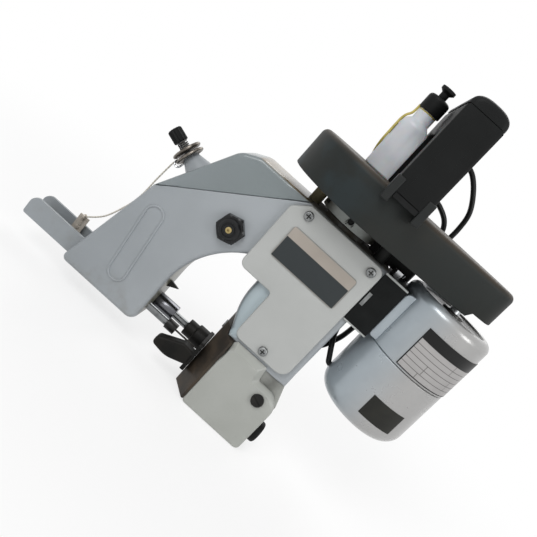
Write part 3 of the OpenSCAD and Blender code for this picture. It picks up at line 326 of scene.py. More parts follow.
def surfaceGroup():
    # mottled colour, uneven gloss and two sizes of grain, from noise in object space
    g = bpy.data.node_groups.new("worn surface", "ShaderNodeTree")
    inputs = ("Colour", "Shade", "Patch Scale", "Patch Amount", "Gloss", "Gloss Spread", "Grain Scale", "Speck Amount")
    for way, names in (("INPUT", inputs), ("OUTPUT", ("Colour", "Roughness", "Height"))):
        for name in names:
            kind = "NodeSocketColor" if name in ("Colour", "Shade") else "NodeSocketFloat"
            g.interface.new_socket(name, in_out=way, socket_type=kind)
    given, out = g.nodes.new("NodeGroupInput").outputs, g.nodes.new("NodeGroupOutput").inputs
    point = objectPoint(g)
    patch = noiseNode(g, point, given["Patch Scale"], 5, 0.5)
    grain = noiseNode(g, point, given["Grain Scale"], 3, 0.5)
    shaded = mixNode(g, given["Colour"], given["Shade"], times(g, rampNode(g, patch, 0.35, 0.7), given["Patch Amount"]))
    dotted = mixNode(g, shaded, given["Shade"], times(g, rampNode(g, grain, 0.62, 0.74), given["Speck Amount"]))
    shift = times(g, mathNode(g, "SUBTRACT", patch, 0.5), given["Gloss Spread"])
    feed(g, out["Colour"], dotted)
    feed(g, out["Roughness"], mathNode(g, "ADD", given["Gloss"], shift, clamp=True))
    feed(g, out["Height"], grain)
    return g


wornSurface = surfaceGroup()
filmRough = 0.95  # roughness under a full film of oil


def finishOf(name, colour, shade, gloss, metal=0.0, patch=(45, 0.35), spread=0.2, grain=(700, 0.12, 0.1),
             speck=0.0, coat=0.0, specular=0.5, tint=None, dull=None, **sockets):
    # one Principled material over the shared group; tint may change the colour by place, and dull takes the gloss off;
    # patch is a scale and an amount, grain a scale, a strength and a depth in millimetres
    m = bpy.data.materials.new(name)
    m.use_nodes = True
    t = m.node_tree
    shader = t.nodes["Principled BSDF"].inputs
    worn = t.nodes.new("ShaderNodeGroup")
    worn.node_tree = wornSurface
    for key, value in (("Colour", colour), ("Shade", shade), ("Patch Scale", patch[0]), ("Patch Amount", patch[1]),
                       ("Gloss", gloss), ("Gloss Spread", spread), ("Grain Scale", grain[0]), ("Speck Amount", speck)):
        feed(t, worn.inputs[key], value)
    hue, rough = worn.outputs["Colour"], worn.outputs["Roughness"]
    for key, value in {"Metallic": metal, "Coat Weight": coat, "Specular IOR Level": specular, **sockets}.items():
        shader[key.replace("_", " ")].default_value = value
    if dull:
        film = dull(t)
        rough = mathNode(t, "MAXIMUM", rough, times(t, film, filmRough))
        feed(t, shader["Coat Weight"], times(t, mathNode(t, "SUBTRACT", 1.0, film), coat))
    bump = t.nodes.new("ShaderNodeBump")
    bump.inputs["Strength"].default_value = grain[1]
    bump.inputs["Distance"].default_value = grain[2] * mm
    feed(t, bump.inputs["Height"], worn.outputs["Height"])
    feed(t, shader["Base Color"], tint(t, hue) if tint else hue)
    feed(t, shader["Roughness"], rough)
    feed(t, shader["Normal"], bump.outputs[0])
    return m


def placeOf(tree):
    # the three coordinates of a point of the piece, in metres
    s = tree.nodes.new("ShaderNodeSeparateXYZ")
    feed(tree, s.inputs[0], objectPoint(tree))
    return s.outputs


def insideOf(tree, value, low, high, soft):
    # 1 where a coordinate lies between two places, fading over a short length
    return times(tree, rampNode(tree, value, low, low + soft), rampNode(tree, value, high, high - soft))


# stains, painted shade and painted highlights are placed in metres: two values are where a mark begins and where it is
# full, three are its first and last place and the length over which it fades
armStainAndPaintedLight = dict(crestZ=(0.1798, 0.1812), filmX=(-0.075, -0.055), deepY=(-0.0222, 0.0242, 0.0017),
                deepZ=(0.02, 0.128, 0.004), wallStainAndShadeX=(-0.1015, -0.058, 0.002), columnShadeX=(-0.058, -0.030, 0.002),
                bevelHighlightX=(-0.052, -0.028, 0.004), bevelHighlightY=(-0.0195, -0.0215), bevelHighlightZ=(0.063, 0.115, 0.004),
                endShadeX=(-0.09, -0.165), lowShadeZ=(0.05, 0.02), cloud=60,
                amount=dict(crest=0.95, wall=0.85, column=0.7, bevel=0.7, end=0.4, low=0.35))


def crestFilm(t):
    # an oil film lies on the top face
    return rampNode(t, placeOf(t)[2], *armStainAndPaintedLight["crestZ"])


def armTint(t, hue):
    # oil has browned the top face and, with painted shade, the throat's walls; the column's wall in the throat is
    # darkened with painted shade, its bevel is lightened with a painted highlight, and the far end and the foot of the
    # arm are darker with painted shade
    s, much, (x, y, z) = armStainAndPaintedLight, armStainAndPaintedLight["amount"], placeOf(t)
    cloud = noiseNode(t, objectPoint(t), s["cloud"])
    crest = times(t, rampNode(t, z, *s["crestZ"]), rampNode(t, cloud, 0.2, 0.6, 0.45, 1.0))
    film = mixNode(t, "7E6C4E", "40392C", rampNode(t, x, *s["filmX"]))
    hue = mixNode(t, hue, film, times(t, crest, much["crest"]))
    deep = times(t, insideOf(t, y, *s["deepY"]), insideOf(t, z, *s["deepZ"]))
    # the throat's walls: an oil stain, darkened further as painted shade in the recess
    wall = times(t, deep, insideOf(t, x, *s["wallStainAndShadeX"]))
    brown = mixNode(t, "6B6548", "34332A", rampNode(t, cloud, 0.3, 0.7))
    hue = mixNode(t, hue, brown, times(t, wall, much["wall"]))
    # the column's wall in the throat: painted shade
    column = times(t, deep, insideOf(t, x, *s["columnShadeX"]))
    hue = mixNode(t, hue, "667075", times(t, column, much["column"]))
    # the column's bevel: a painted highlight, pale blue-grey
    bevel = times(t, insideOf(t, x, *s["bevelHighlightX"]), insideOf(t, z, *s["bevelHighlightZ"]), rampNode(t, y, *s["bevelHighlightY"]))
    hue = mixNode(t, hue, "ABBBC1", times(t, bevel, much["bevel"]))
    # the far end: painted shade, darker towards the left
    hue = mixNode(t, hue, "858B90", times(t, rampNode(t, x, *s["endShadeX"]), much["end"]))
    # the foot of the arm: painted shade in clouds, darker towards the bottom
    low = times(t, rampNode(t, z, *s["lowShadeZ"]), rampNode(t, cloud, 0.45, 0.7))
    return mixNode(t, hue, "77756A", times(t, low, much["low"]))


footValleyShade = dict(frontY=(-0.0245, -0.0225), rearY=(0.027, 0.005), x=(-0.002, 0.030, 0.020), z=(0.047, 0.068, 0.003),
                 cloud=90, amount=(0.5, 0.9))


def footTint(t, hue):
    # painted shade in the valley between the cover's shoulder and the frame, broken up by noise, and none on the rear
    # face
    s, (x, y, z) = footValleyShade, placeOf(t)
    cloud = noiseNode(t, objectPoint(t), s["cloud"])
    # the valley mask: where the painted shade lies
    valley = times(t, rampNode(t, y, *s["frontY"]), insideOf(t, z, *s["z"]), insideOf(t, x, *s["x"]),
                   rampNode(t, y, *s["rearY"]))
    return mixNode(t, hue, "454541", times(t, valley, rampNode(t, cloud, 0.25, 0.6, *s["amount"])))


slotFloorTone = dict(floorY=0.0294, fade=(0.0002, 0.0001), amount=0.9)


def slotTint(t, hue):
    # darker at the floor of the cross slots of the front screws
    off = mathNode(t, "ABSOLUTE", mathNode(t, "ADD", placeOf(t)[1], slotFloorTone["floorY"]))
    return mixNode(t, hue, "1E1E1C", rampNode(t, off, *slotFloorTone["fade"], 0.0, slotFloorTone["amount"]))


hubSideTone = dict(shaftX=-0.026, fade=(0.012, 0.022), amount=0.9)


def hubTint(t, hue):
    # darker away from the middle of the hub's face, towards both sides
    off = mathNode(t, "ABSOLUTE", mathNode(t, "SUBTRACT", placeOf(t)[0], hubSideTone["shaftX"]))
    return mixNode(t, hue, "3B3931", times(t, rampNode(t, off, *hubSideTone["fade"]), hubSideTone["amount"]))


coverStainAndSheen = dict(blueSheenX=(0.0, -0.06), edgeZ=(0.2235, 0.228), cloud=35, blueSheen=0.7, brown=(0.2, 0.75))


def coverTint(t, hue):
    # a brown stain on the top edge, lightened as painted light from above, and a faint blue painted reflection on the
    # wide end
    s, (x, _, z) = coverStainAndSheen, placeOf(t)
    cloud = noiseNode(t, objectPoint(t), s["cloud"])
    # painted reflection: a faint blue on the wide end
    blueSheen = times(t, rampNode(t, x, *s["blueSheenX"]), rampNode(t, cloud, 0.4, 0.65))
    hue = mixNode(t, hue, "2C3538", times(t, blueSheen, s["blueSheen"]))
    # top edge: a brown stain, lighter as painted light from above
    brown = times(t, rampNode(t, z, *s["edgeZ"]), rampNode(t, cloud, 0.25, 0.65, *s["brown"]))
    return mixNode(t, hue, "4B4034", brown)


baseStain = dict(oilX=(-0.047, -0.05), rimX=(0.038, 0.042), rimZ=(0.1995, 0.2002))


def baseTint(t, hue):
    # oily grey about the shaft, bare steel at the rim over the motor
    x, _, z = placeOf(t)
    hue = mixNode(t, hue, "716A53", rampNode(t, x, *baseStain["oilX"]))
    return mixNode(t, hue, "A5A7A6", times(t, rampNode(t, x, *baseStain["rimX"]), rampNode(t, z, *baseStain["rimZ"])))


motorPaintedLight = dict(shaftX=0.078, warmSideX=(0.05, 0.085), topShadowR=(0.0305, 0.0285), topShadowZ=(0.180, 0.187), warmSideLight=0.8,
                  topShadow=0.9)


def motorTint(t, hue):
    # painted light: the enamel turns warmer grey towards the outer side; a painted shadow of the belt cover lies in the
    # shallow recess of the top
    s, (x, y, z) = motorPaintedLight, placeOf(t)
    # painted light: warmer grey towards the outer side
    hue = mixNode(t, hue, "A5A29F", rampNode(t, x, *s["warmSideX"], 0.0, s["warmSideLight"]))
    dx = mathNode(t, "SUBTRACT", x, s["shaftX"])
    radius = mathNode(t, "SQRT", mathNode(t, "ADD", times(t, dx, dx), times(t, y, y)))
    # painted shadow in the recess of the top, under the belt cover
    topShadow = times(t, rampNode(t, radius, *s["topShadowR"]), rampNode(t, z, *s["topShadowZ"]))
    return mixNode(t, hue, "2A2926", times(t, topShadow, s["topShadow"]))


bracketStain = dict(topZ=(0.1792, 0.1798), lowShadeZ=(0.1356, 0.135), frontY=(-0.0245, -0.0255))


def bracketTint(t, hue):
    # bare metal along the folded edges of the front
    s, (_, y, z) = bracketStain, placeOf(t)
    edge = mathNode(t, "MAXIMUM", rampNode(t, z, *s["topZ"]), rampNode(t, z, *s["lowShadeZ"]))
    return mixNode(t, hue, "A9ACAA", times(t, edge, rampNode(t, y, *s["frontY"])))


finishes = dict(
    arm=finishOf("satin grey enamel", "9DA2A6", "8C9194", 0.36, patch=(14, 0.5), grain=(420, 0.16, 0.25), coat=0.15,
                 tint=armTint, dull=crestFilm),
    # the top cover is a darker copy of the arm's grey: painted shade for its inclined face
    top=finishOf("grey enamel with painted shade", "7A8385", "6E7678", 0.34, patch=(16, 0.5), grain=(420, 0.16, 0.25), coat=0.4,
                 tint=armTint),
    plate=finishOf("pale grey enamel", "B1B3B1", "A4A6A4", 0.4, patch=(18, 0.5), grain=(520, 0.14, 0.2), speck=0.1),
    foot=finishOf("pale enamel with painted valley shade", "A8AAA5", "999B95", 0.42, patch=(30, 0.4), grain=(480, 0.18, 0.25),
                  speck=0.2, tint=footTint),
    motor=finishOf("silver hammer enamel", "A2ABB1", "919AA1", 0.3, metal=0.4, patch=(60, 0.4),
                   grain=(340, 0.018, 0.2), coat=0.15, tint=motorTint),
    cover=finishOf("belt cover plastic", "272A29", "302F2B", 0.52, patch=(22, 0.5), grain=(1500, 0.25, 0.1),
                   specular=0.14, tint=coverTint),
    grip=finishOf("grip plastic", "171818", "1F2020", 0.5, patch=(30, 0.5), grain=(1700, 0.3, 0.1), specular=0.1),
    clip=finishOf("clip plastic", "242626", "2D2E2D", 0.5, patch=(40, 0.5), grain=(1500, 0.3, 0.1), specular=0.16),
    base=finishOf("blackened base plate", "1B1C1B", "262622", 0.5, patch=(40, 0.5), specular=0.15, tint=baseTint),
    blackMetal=finishOf("oiled black steel", "191918", "2B2925", 0.4, metal=0.12, patch=(90, 0.6),
                        grain=(500, 0.25, 0.2), speck=0.25, specular=0.25),
    presser=finishOf("sooty black steel", "131312", "22201D", 0.5, patch=(90, 0.6), grain=(500, 0.25, 0.2), speck=0.25,
                     specular=0.14),
    bracket=finishOf("black bracket enamel", "0E1010", "1A1C1C", 0.5, patch=(70, 0.5), speck=0.35, specular=0.12,
                     tint=bracketTint),
    bar=finishOf("worn steel bar", "7E8081", "595B5C", 0.28, metal=1.0, patch=(140, 0.6), grain=(900, 0.08, 0.1)),
    steel=finishOf("machined steel", "B9BCBE", "8E9092", 0.3, metal=1.0, patch=(120, 0.5), grain=(900, 0.1, 0.1),
                   speck=0.2),
    bright=finishOf("plated steel", "C9CBCD", "9FA1A3", 0.14, metal=1.0, patch=(150, 0.35), grain=(900, 0.05, 0.05)),
    brass=finishOf("dull brass", "C0AE7C", "8C7A4C", 0.38, metal=0.9, patch=(260, 0.6), grain=(900, 0.2, 0.1)),
    rubber=finishOf("black rubber", "141515", "202121", 0.6, patch=(80, 0.5), grain=(1200, 0.3, 0.1), specular=0.15),
    jacket=finishOf("cable jacket", "131414", "1D1E1E", 0.38, patch=(60, 0.4), grain=(900, 0.12, 0.1), specular=0.2),
    bottle=finishOf("milky bottle plastic", "D3D6DB", "C2C6CD", 0.35, patch=(60, 0.5), grain=(300, 0.1, 0.2),
                    Subsurface_Weight=0.25, Subsurface_Scale=0.004),
    oil=finishOf("yellowed clear tube", "CDBD66", "A8953F", 0.22, patch=(160, 0.6), grain=(600, 0.1, 0.1), coat=0.4),
    cotton=finishOf("cotton thread", "D2CDC2", "B3AC9E", 0.85, patch=(900, 0.6), grain=(2600, 0.8, 0.2)),
    cast=finishOf("dull cast alloy", "8B8F8C", "6E6F6A", 0.55, metal=0.2, patch=(80, 0.6), grain=(420, 0.35, 0.4),
                  speck=0.3, specular=0.25, tint=hubTint),
    gunmetal=finishOf("dark polished steel", "6B6C70", "4A4B4E", 0.22, metal=1.0, patch=(130, 0.5),
                      grain=(800, 0.08, 0.1)),
    zinc=finishOf("dull zinc plate", "8F9191", "5E6060", 0.4, metal=0.9, patch=(260, 0.6), grain=(900, 0.2, 0.1),
                  speck=0.3, tint=slotTint),
    guide=finishOf("stained plated strip", "CBC3B8", "9A9084", 0.4, metal=0.25, patch=(260, 0.7),
                   grain=(900, 0.15, 0.1), speck=0.3),
    nut=finishOf("polished black nut", "131415", "222426", 0.24, metal=0.25, patch=(120, 0.5), grain=(700, 0.1, 0.1),
                 coat=0.12, specular=0.3),
    throat=finishOf("oil-browned plate", "2C2824", "483E33", 0.42, metal=0.15, patch=(55, 0.8), grain=(420, 0.25, 0.25),
                    speck=0.3, specular=0.25),
    # painted shade: the wire is darkened for the shade under the tension knob; the needle shares this finish
    spring=finishOf("spring wire darkened as painted shade", "3A3835", "24221F", 0.35, metal=0.8, patch=(200, 0.5)),
    disc=finishOf("worn tension disc", "857E76", "3C3731", 0.32, metal=0.75, patch=(170, 0.85), grain=(700, 0.15, 0.1),
                  speck=0.4),
    winding=finishOf("varnished winding", "5F4132", "3F2C22", 0.4, metal=0.2, patch=(200, 0.6)),
)
print("finishes made", len(finishes))


def paint(piece, finish):
    # the piece gets one finish all over
    piece.data.materials.clear()
    piece.data.materials.append(finishes[finish])
    return piece


# leads, oil tube and thread: routes through the points of the solids, in millimetres

cords = dict(
    switch_lead=dict(radius=2.25, finish="jacket", slot="lead_jacket", lay="loose", points=(
        (5, 50, 280), (12, 50, 279), (23, 50, 275), (34, 51, 265), (43, 53, 252), (46, 55, 238), (46, 55, 222),
        (45, 53, 200), (44, 50, 175), (42, 45, 150), (38, 34, 126), (34, 22, 112), (29, 14, 103), (26, 12, 98),
        (22.6, 12, 96))),
    motor_lead=dict(radius=2.25, finish="jacket", slot="lead_jacket", lay="loose", points=(
        (5, 50, 243), (12, 50, 242), (22, 51, 240), (33, 54, 234), (39, 57, 224), (40, 58, 208), (37, 56, 185),
        (32, 48, 160), (28, 37, 138), (25.5, 24, 124), (26, 10, 114), (30, 3, 106), (35, 0, 98), (37, 0, 95),
        (39.3, 0, 94))),
    oil_tube=dict(radius=1.0, finish="oil", slot="oil_tube", lay="loose", points=(
        (-45.6, 16, 285), (-45.7, 16, 281), (-46.4, 16, 276.8), (-48.6, 16, 273), (-49.6, 16, 269), (-49.8, 16, 264),
        (-49.8, 16, 256), (-49.7, 17.2, 249), (-49.1, 20.5, 242.5), (-48, 24.8, 237), (-46.9, 28.4, 232.5),
        (-46.2, 30.4, 228))),
    needle_thread=dict(radius=0.7, finish="cotton", slot="thread", lay="taut", steps=40, pitch=5.0, points=(
        (-155.8, -0.2, 133.5), (-157, -1, 128), (-158.5, -2, 112), (-159.5, -3, 95), (-163, -3, 80), (-172, -2, 60),
        (-185, 0, 47))),
)


def addCords():
    for node, s in cords.items():
        path = splinePoints(s["points"], s.get("steps", 10))
        piece = paint(makePiece(node.replace("_", "-"), *tubeMesh(path, s["radius"], pitch=s.get("pitch")), "frame",
                                [node], s["slot"]), s["finish"])


addCords()
print("cords made", len(cords))


def insetCorners(corners, d):
    # the same corners moved inwards by d, with their arcs' radii changed to match
    c = np.asarray(corners, float)
    p = c[:, :2]
    u = p - np.roll(p, 1, 0)
    u /= np.linalg.norm(u, axis=1)[:, None]
    v = np.roll(u, -1, 0)
    shift = np.stack([-u[:, 1] - v[:, 1], u[:, 0] + v[:, 0]], -1) / (1 + np.sum(u * v, 1))[:, None]
    hollow = u[:, 0] * v[:, 1] - u[:, 1] * v[:, 0] < 0
    r = np.where(c[:, 2] > 0, np.maximum(0.5, c[:, 2] + np.where(hollow, d, -d)), 0.01)
    return np.column_stack([p + shift * d, r])


def fixedOutline(corners, like=None, step=2.0, room=6.0):
    # arcs and sides with as many points as the outline "like" needs, so that two insets match point for point;
    # a corner of no radius stays one point with none beside it, because a small arc or a near point would cross
    # it when the edge is rounded
    c = np.asarray(corners, float)
    base = c if like is None else np.asarray(like, float)
    arcs = []
    for i in range(len(c)):
        if base[i, 2] <= 0:
            arcs.append(c[i:i + 1, :2])
            continue
        r = max(c[i, 2], 0.01)
        mid, start, turn = cornerArc(c, i, r)
        arcs.append(arcPoints(mid, r, start, turn, 28 if base[i, 2] > 30 else 9))  # a wide arc gets more points
    out = []
    for i, arc in enumerate(arcs):
        nxt = (i + 1) % len(arcs)
        span = np.linalg.norm(base[nxt, :2] - base[i, :2])
        clear = [room / span if base[k, 2] <= 0 else 0 for k in (i, nxt)]
        f = np.linspace(0, 1, max(2, int(span / step)) + 1)[1:-1]
        f = f[(f > clear[0]) & (f < 1 - clear[1])]
        out += [arc, arc[-1] + (arcs[nxt][0] - arc[-1]) * f[:, None]]
    return np.concatenate(out)


def smoothRun(values, width):
    # a running mean round a closed outline
    k = np.ones(width) / width
    return np.convolve(np.concatenate([values[-width:], values, values[:width]]), k, "same")[width:-width]


def castingMesh(corners, y0, y1, wall, edge, openRear=True, steps=6):
    # a casting that is open at the rear or else at the front: a rounded edge at its closed side, an outer wall, a
    # plain lip, and an inner wall and floor
    outer, inner = fixedOutline(corners), fixedOutline(insetCorners(corners, wall), corners)
    shut, lip, way = (y0, y1, 1) if openRear else (y1, y0, -1)
    radius = edge(outer) if callable(edge) else edge
    rings = edgeRings(outer, shut, way, radius, np.linspace(0, math.pi / 2, steps))
    return ringMesh(rings + [atDepth(outer, lip), atDepth(inner, lip), atDepth(inner, shut + way * wall)])


# arm and column
armCorners = [(-174.5, 17.5, 4.5), (-98.5, 17.5, 8), (-98.5, 100, 72), (-62, 123, 5), (-47.6, 123, 6), (-47.6, 89, 60),
              (-36, 63, 0), (22.6, 63, 0), (22.6, 181.3, 4.5), (-56, 181.3, 0), (-153, 112, 0)]
armSet = dict(front=-24, rear=24, wall=5, edge=3.6, columnEdge=9, seamEdge=0.5, baseEdge=0.6, seamWidth=1.0,
              column=((-52, -25), (64, 116)), baseTop=63.5, baseFrom=-40, motorPad=((21, -11, 138), (33, 11, 177)))
bearingBoss = dict(at=(-26, 0, 0), profile=((0, 178, 0), (18, 178, 0), (18, 184.3, 1), (9, 184.3, 0.4), (9, 182, 0)))
ovalSet = dict(centre=(-135, 68), width=15, length=68, lean=6, bead=1.0)
seamLine = dict(start=(-153, 112), run=(97, 69.3))


def seamDistance(x, z):
    # distance from the straight seam between the arm and its top cover
    (x0, z0), (dx, dz) = seamLine["start"], seamLine["run"]
    return np.abs((x - x0) * dz - (z - z0) * dx) / math.hypot(dx, dz)


def armEdge(outline):
    # edge radius by place: wide on the column's throat side, almost none at the seam and the base
    s, (x, z) = armSet, outline.T
    (x0, x1), (z0, z1) = s["column"]
    r = np.full(len(x), float(s["edge"]))
    r[(x > x0) & (x < x1) & (z > z0) & (z < z1)] = s["columnEdge"]
    r[(seamDistance(x, z) < s["seamWidth"]) & (z > seamLine["start"][1] + 0.5)] = s["seamEdge"]
    r[z < s["baseTop"]] = np.where(x[z < s["baseTop"]] > s["baseFrom"], s["baseEdge"], s["edge"])
    return smoothRun(r, 7)


def beadRing(outline, y, radius):
    # a half-sunk bead round a closed outline on the front face: a small circle carried round it
    inset = inward(outline)
    rings = [atDepth(outline + inset * radius * math.cos(a), y + radius * math.sin(a))
             for a in np.append(np.linspace(0, 2 * math.pi, 10, endpoint=False), 0.0)]
    return np.concatenate(rings), ringFaces(len(rings), len(outline))


def addArm():
    s, o = armSet, ovalSet
    w, h = o["width"] / 2, o["length"] / 2
    oval = roundCorners([(x, z, w - 0.1) for x, z in ((-w, -h), (w, -h), (w, h), (-w, h))])
    c, n = math.cos(math.radians(o["lean"])), math.sin(math.radians(o["lean"]))
    oval = np.column_stack([oval[:, 0] * c - oval[:, 1] * n, oval[:, 0] * n + oval[:, 1] * c]) + o["centre"]
    parts = [castingMesh(armCorners, s["front"], s["rear"], s["wall"], armEdge), beadRing(oval, s["front"], o["bead"]),
             latheMesh(roundProfile(bearingBoss["profile"]), bearingBoss["at"]), boxMesh(*s["motorPad"])]
    paint(makePiece("arm-casting", *joinMeshes(parts), "frame", ["frame_casting"], "grey_paint", sharp=38), "arm")


addArm()

# top cover: its edges roll over front and back, and a fine groove marks the seam
topCorners = [(-152.6, 112.6, 0), (-56.6, 181.3, 0), (-104, 181.3, 16), (-119, 174, 14)]
topSet = dict(front=-24, rear=24, edge=3.4, seamEdge=0.8, seamWidth=1.2, room=18)


def addTopCover():
    s = topSet
    outline = fixedOutline(topCorners, room=s["room"])
    edge = smoothRun(np.where(seamDistance(*outline.T) < s["seamWidth"], s["seamEdge"], s["edge"]), 5)
    paint(makePiece("arm-top-cover", *slabMesh(outline, s["front"], s["rear"], edge, edge, 6), "frame",
                    ["arm_top_cover"], "dark_paint", sharp=38), "top")


addTopCover()

# flat covers: front plate, looper cover, looper housing, rear cover
plateCorners = [(-66.3, 112, 6), (-33.7, 112, 3), (-33.7, 68.4, 6), (17.2, 68.4, 9), (17.2, 180.5, 7), (-54, 180.5, 4),
                (-66.3, 170.3, 5)]
looperSet = dict(front=-30, lip=-24.4, seat=-22, gap=0.02, edge=1.6, bevel=5.2, bevelFrom=(44, 56))
looperBack = [(-29, 0, 3), (29, 0, 4), (29, 53, 13), (5, 53, 2), (3, 62.5, 2), (-29, 62.5, 3)]
looperRim = [(-29, 0, 3), (29, 0, 4), (29, 53, 13), (5, 53, 2), (3, 65.5, 2), (-26.5, 65.5, 1.5), (-29, 62.5, 1.5)]
looperFace = [(-27.4, 1.6, 2), (27.4, 1.6, 3), (26, 49.8, 11), (1, 49.8, 2.5), (-1.2, 60.4, 2), (-24.4, 60.4, 1.2),
              (-27.4, 57, 1.2)]
housingCorners = [(-29, 0, 3), (29, 0, 3), (29, 45, 4), (22.6, 63, 0), (-21, 63, 0), (-29, 53, 3)]
webCorners = [(1, 49.5, 0), (26.5, 49.5, 0), (22.4, 62.9, 0), (1, 62.9, 0)]
# front and rear face, then the rounding of their edges
plateDepth, webDepth, rearDepth = (-28, -24, 1.3, 0.1), (-21.8, -18, 0.4, 0.1), (24, 27, 0.1, 1.0)
housingSet = dict(y0=-22, y1=30, wall=4, edge=2.2, openRear=False)
needleWindow = ((-35, -12, 14), (-24, 23.5, 46))  # needle and feed dog pass here, behind the throat plate
pinHole, shaftHole = (14, 43, 4.05, 20, 35), (-87.5, 127, 6.05, 20, 35)  # x, z, radius and reach in depth


def looperMesh():
    # rings from the face's outline out to the rim: along a quarter circle at the sides, and along a straight and
    # deeper chamfer at the lip and the shoulder, then straight back to the lip's rear
    s = looperSet
    rim, face = fixedOutline(looperRim), fixedOutline(looperFace, looperRim)
    low, high = s["bevelFrom"]
    share = np.clip((rim[:, 1] - low) / (high - low), 0, 1)
    share = share * share * (3 - 2 * share)
    deep = s["edge"] + (s["bevel"] - s["edge"]) * share
    rings = []
    for u in np.linspace(0, 1, 7):
        a = u * math.pi / 2
        inside = (1 - share) * (1 - math.sin(a)) + share * (1 - u)
        y = s["front"] + deep * ((1 - share) * (1 - math.cos(a)) + share * u)
        rings.append(atDepth(rim + (face - rim) * inside[:, None], y))
    rings.append(atDepth(rim, s["lip"]))
    back = slabMesh(fixedOutline(looperBack), s["lip"] + s["gap"], s["seat"], 0.1, 0.1)
    return joinMeshes([ringMesh(rings), back])


def cutAway(piece, verts, faces):
    # takes one shape out of a piece's wall, and deletes the shape
    shape = bpy.data.meshes.new("cutter")
    shape.from_pydata((verts * mm).tolist(), [], faces)
    tool = bpy.data.objects.new("cutter", shape)
    scene.collection.objects.link(tool)
    cut = piece.modifiers.new("cutter", "BOOLEAN")
    cut.operation, cut.solver, cut.use_self, cut.object = "DIFFERENCE", "EXACT", True, tool
    bpy.context.view_layer.update()
    mesh = bpy.data.meshes.new_from_object(piece.evaluated_get(bpy.context.evaluated_depsgraph_get()))
    piece.modifiers.remove(cut)
    piece.data = mesh
    bpy.data.objects.remove(tool)
    bpy.data.meshes.remove(shape)
    shadeSmooth(mesh, 40)
    return piece


def holeMesh(x, z, radius, y0, y1):
    # a round bar along Y, closed at both ends
    a = np.linspace(0, 2 * math.pi, 48, endpoint=False)
    ring = np.column_stack([x + radius * np.cos(a), z + radius * np.sin(a)])
    return ringMesh([atDepth(ring, y1), atDepth(ring, y0)])


def addPlates():
    plate = slabMesh(fixedOutline(plateCorners), *plateDepth)
    paint(makePiece("side-plate", *plate, "frame", ["side_plate"], "pale_paint", sharp=40), "plate")
    paint(makePiece("looper-cover", *looperMesh(), "frame", ["looper_cover"], "pale_paint", sharp=40), "foot")
    housing = joinMeshes([castingMesh(housingCorners, **housingSet), slabMesh(fixedOutline(webCorners), *webDepth)])
    housing = makePiece("looper-housing", *housing, "frame", ["looper_housing"], "pale_paint", sharp=40)
    cutAway(housing, *boxMesh(*needleWindow))
    paint(cutAway(housing, *holeMesh(*pinHole)), "foot")
    rear = slabMesh(fixedOutline(armCorners), *rearDepth)
    rear = makePiece("rear-cover", *rear, "frame", ["rear_cover"], "grey_paint", sharp=40)
    paint(cutAway(rear, *holeMesh(*shaftHole)), "arm")


addPlates()
print("castings and plates made")

# belt cover: two arcs joined by their tangents, a rounded top edge and an open underside
beltSet = dict(shaft=-26, motor=78, big=60, small=24.5, low=195, cut=200, cutX=82, top=228, edge=5, lip=0.8,
               lipAngles=(0.5, 1.0, 1.57), wall=3)


def eggOutline(big, small, left, right, count=96):
    # arcs about two shafts, joined by their outer tangents, with points added along the straight sides
    touch = math.pi / 2 - math.asin((big - small) / (right - left))
    a = np.linspace(touch, 2 * math.pi - touch, count)
    b = np.linspace(-touch, touch, count // 2)
    bigArc = np.column_stack([left + big * np.cos(a), big * np.sin(a)])
    smallArc = np.column_stack([right + small * np.cos(b), small * np.sin(b)])
    f = np.linspace(0, 1, 26)[1:-1, None]
    return np.concatenate([bigArc, bigArc[-1] + (smallArc[0] - bigArc[-1]) * f, smallArc,
                           smallArc[-1] + (bigArc[0] - smallArc[-1]) * f])


def addBeltCover():
    s = beltSet

    def ring(inset, z):
        # the outline drawn in by an inset, at a height
        p = eggOutline(s["big"] - inset, s["small"] - inset, s["shaft"], s["motor"])
        return np.column_stack([p, np.broadcast_to(z, len(p))])

    x = ring(0, 0)[:, 0]
    foot = np.where(x > s["cutX"], s["cut"], s["low"])
    rings = [ring(s["wall"], s["top"] - s["wall"]), ring(s["wall"], foot), ring(s["lip"], foot)]
    rings += [ring(s["lip"] * (1 - math.sin(t)), foot + s["lip"] * (1 - math.cos(t)))
              for t in s["lipAngles"]]
    rings += [ring(s["edge"] * (1 - math.cos(t)), s["top"] - s["edge"] * (1 - math.sin(t)))
              for t in np.linspace(0, math.pi / 2, 9)]
    paint(makePiece("belt-cover", *ringMesh(rings), "frame", ["belt_cover"], "black_plastic", sharp=50), "cover")


addBeltCover()

# grip: two posts, a slotted beam and a domed cap, with clips that hold it to the belt cover
gripSet = dict(left=-25, right=5, front=-66, rear=62, post=24, low=228, under=276, part=298, edge=2.2, fillet=4,
               slotX=(-16.4, -3.6), slotY=(-38, -12), roof=1, gap=0.01)
capSet = dict(crown=10, lift=0.4, end=5, power=0.75)
clipSet = dict(proud=1.2, width=6, ahead=0.8, depth=10, below=9, above=10)
apronSet = dict(side=5, depth=12, below=4, above=1)


def sideSlab(corners, x0, x1, left, right):
    # a flat body with its outline in Y and Z, drawn along X
    v, f = slabMesh(fixedOutline(corners), x0, x1, left, right)
    return v[:, [1, 0, 2]], f


def capMesh(s, c):
    # a flattened arch carried along Y, whose two ends shrink towards its base along a quarter circle
    a, turn = np.linspace(0, math.pi, 41), np.linspace(0, math.pi / 2, 9)
    mid, half = (s["left"] + s["right"]) / 2, (s["right"] - s["left"]) / 2
    base = np.array([mid, s["part"] + c["lift"]])
    bow = np.column_stack([half * np.sign(np.cos(a)) * np.abs(np.cos(a)) ** c["power"],
                           (c["crown"] - c["lift"]) * np.sin(a) ** c["power"]])
    rings = []
    for y, way, angles in ((s["front"], 1, turn), (s["rear"], -1, turn[::-1])):
        for q in angles:
            p = base + bow * (1 - c["end"] * (1 - math.sin(q)) / half)
            rings.append(atDepth(p, y + way * c["end"] * (1 - math.cos(q))))
    return ringMesh(rings)


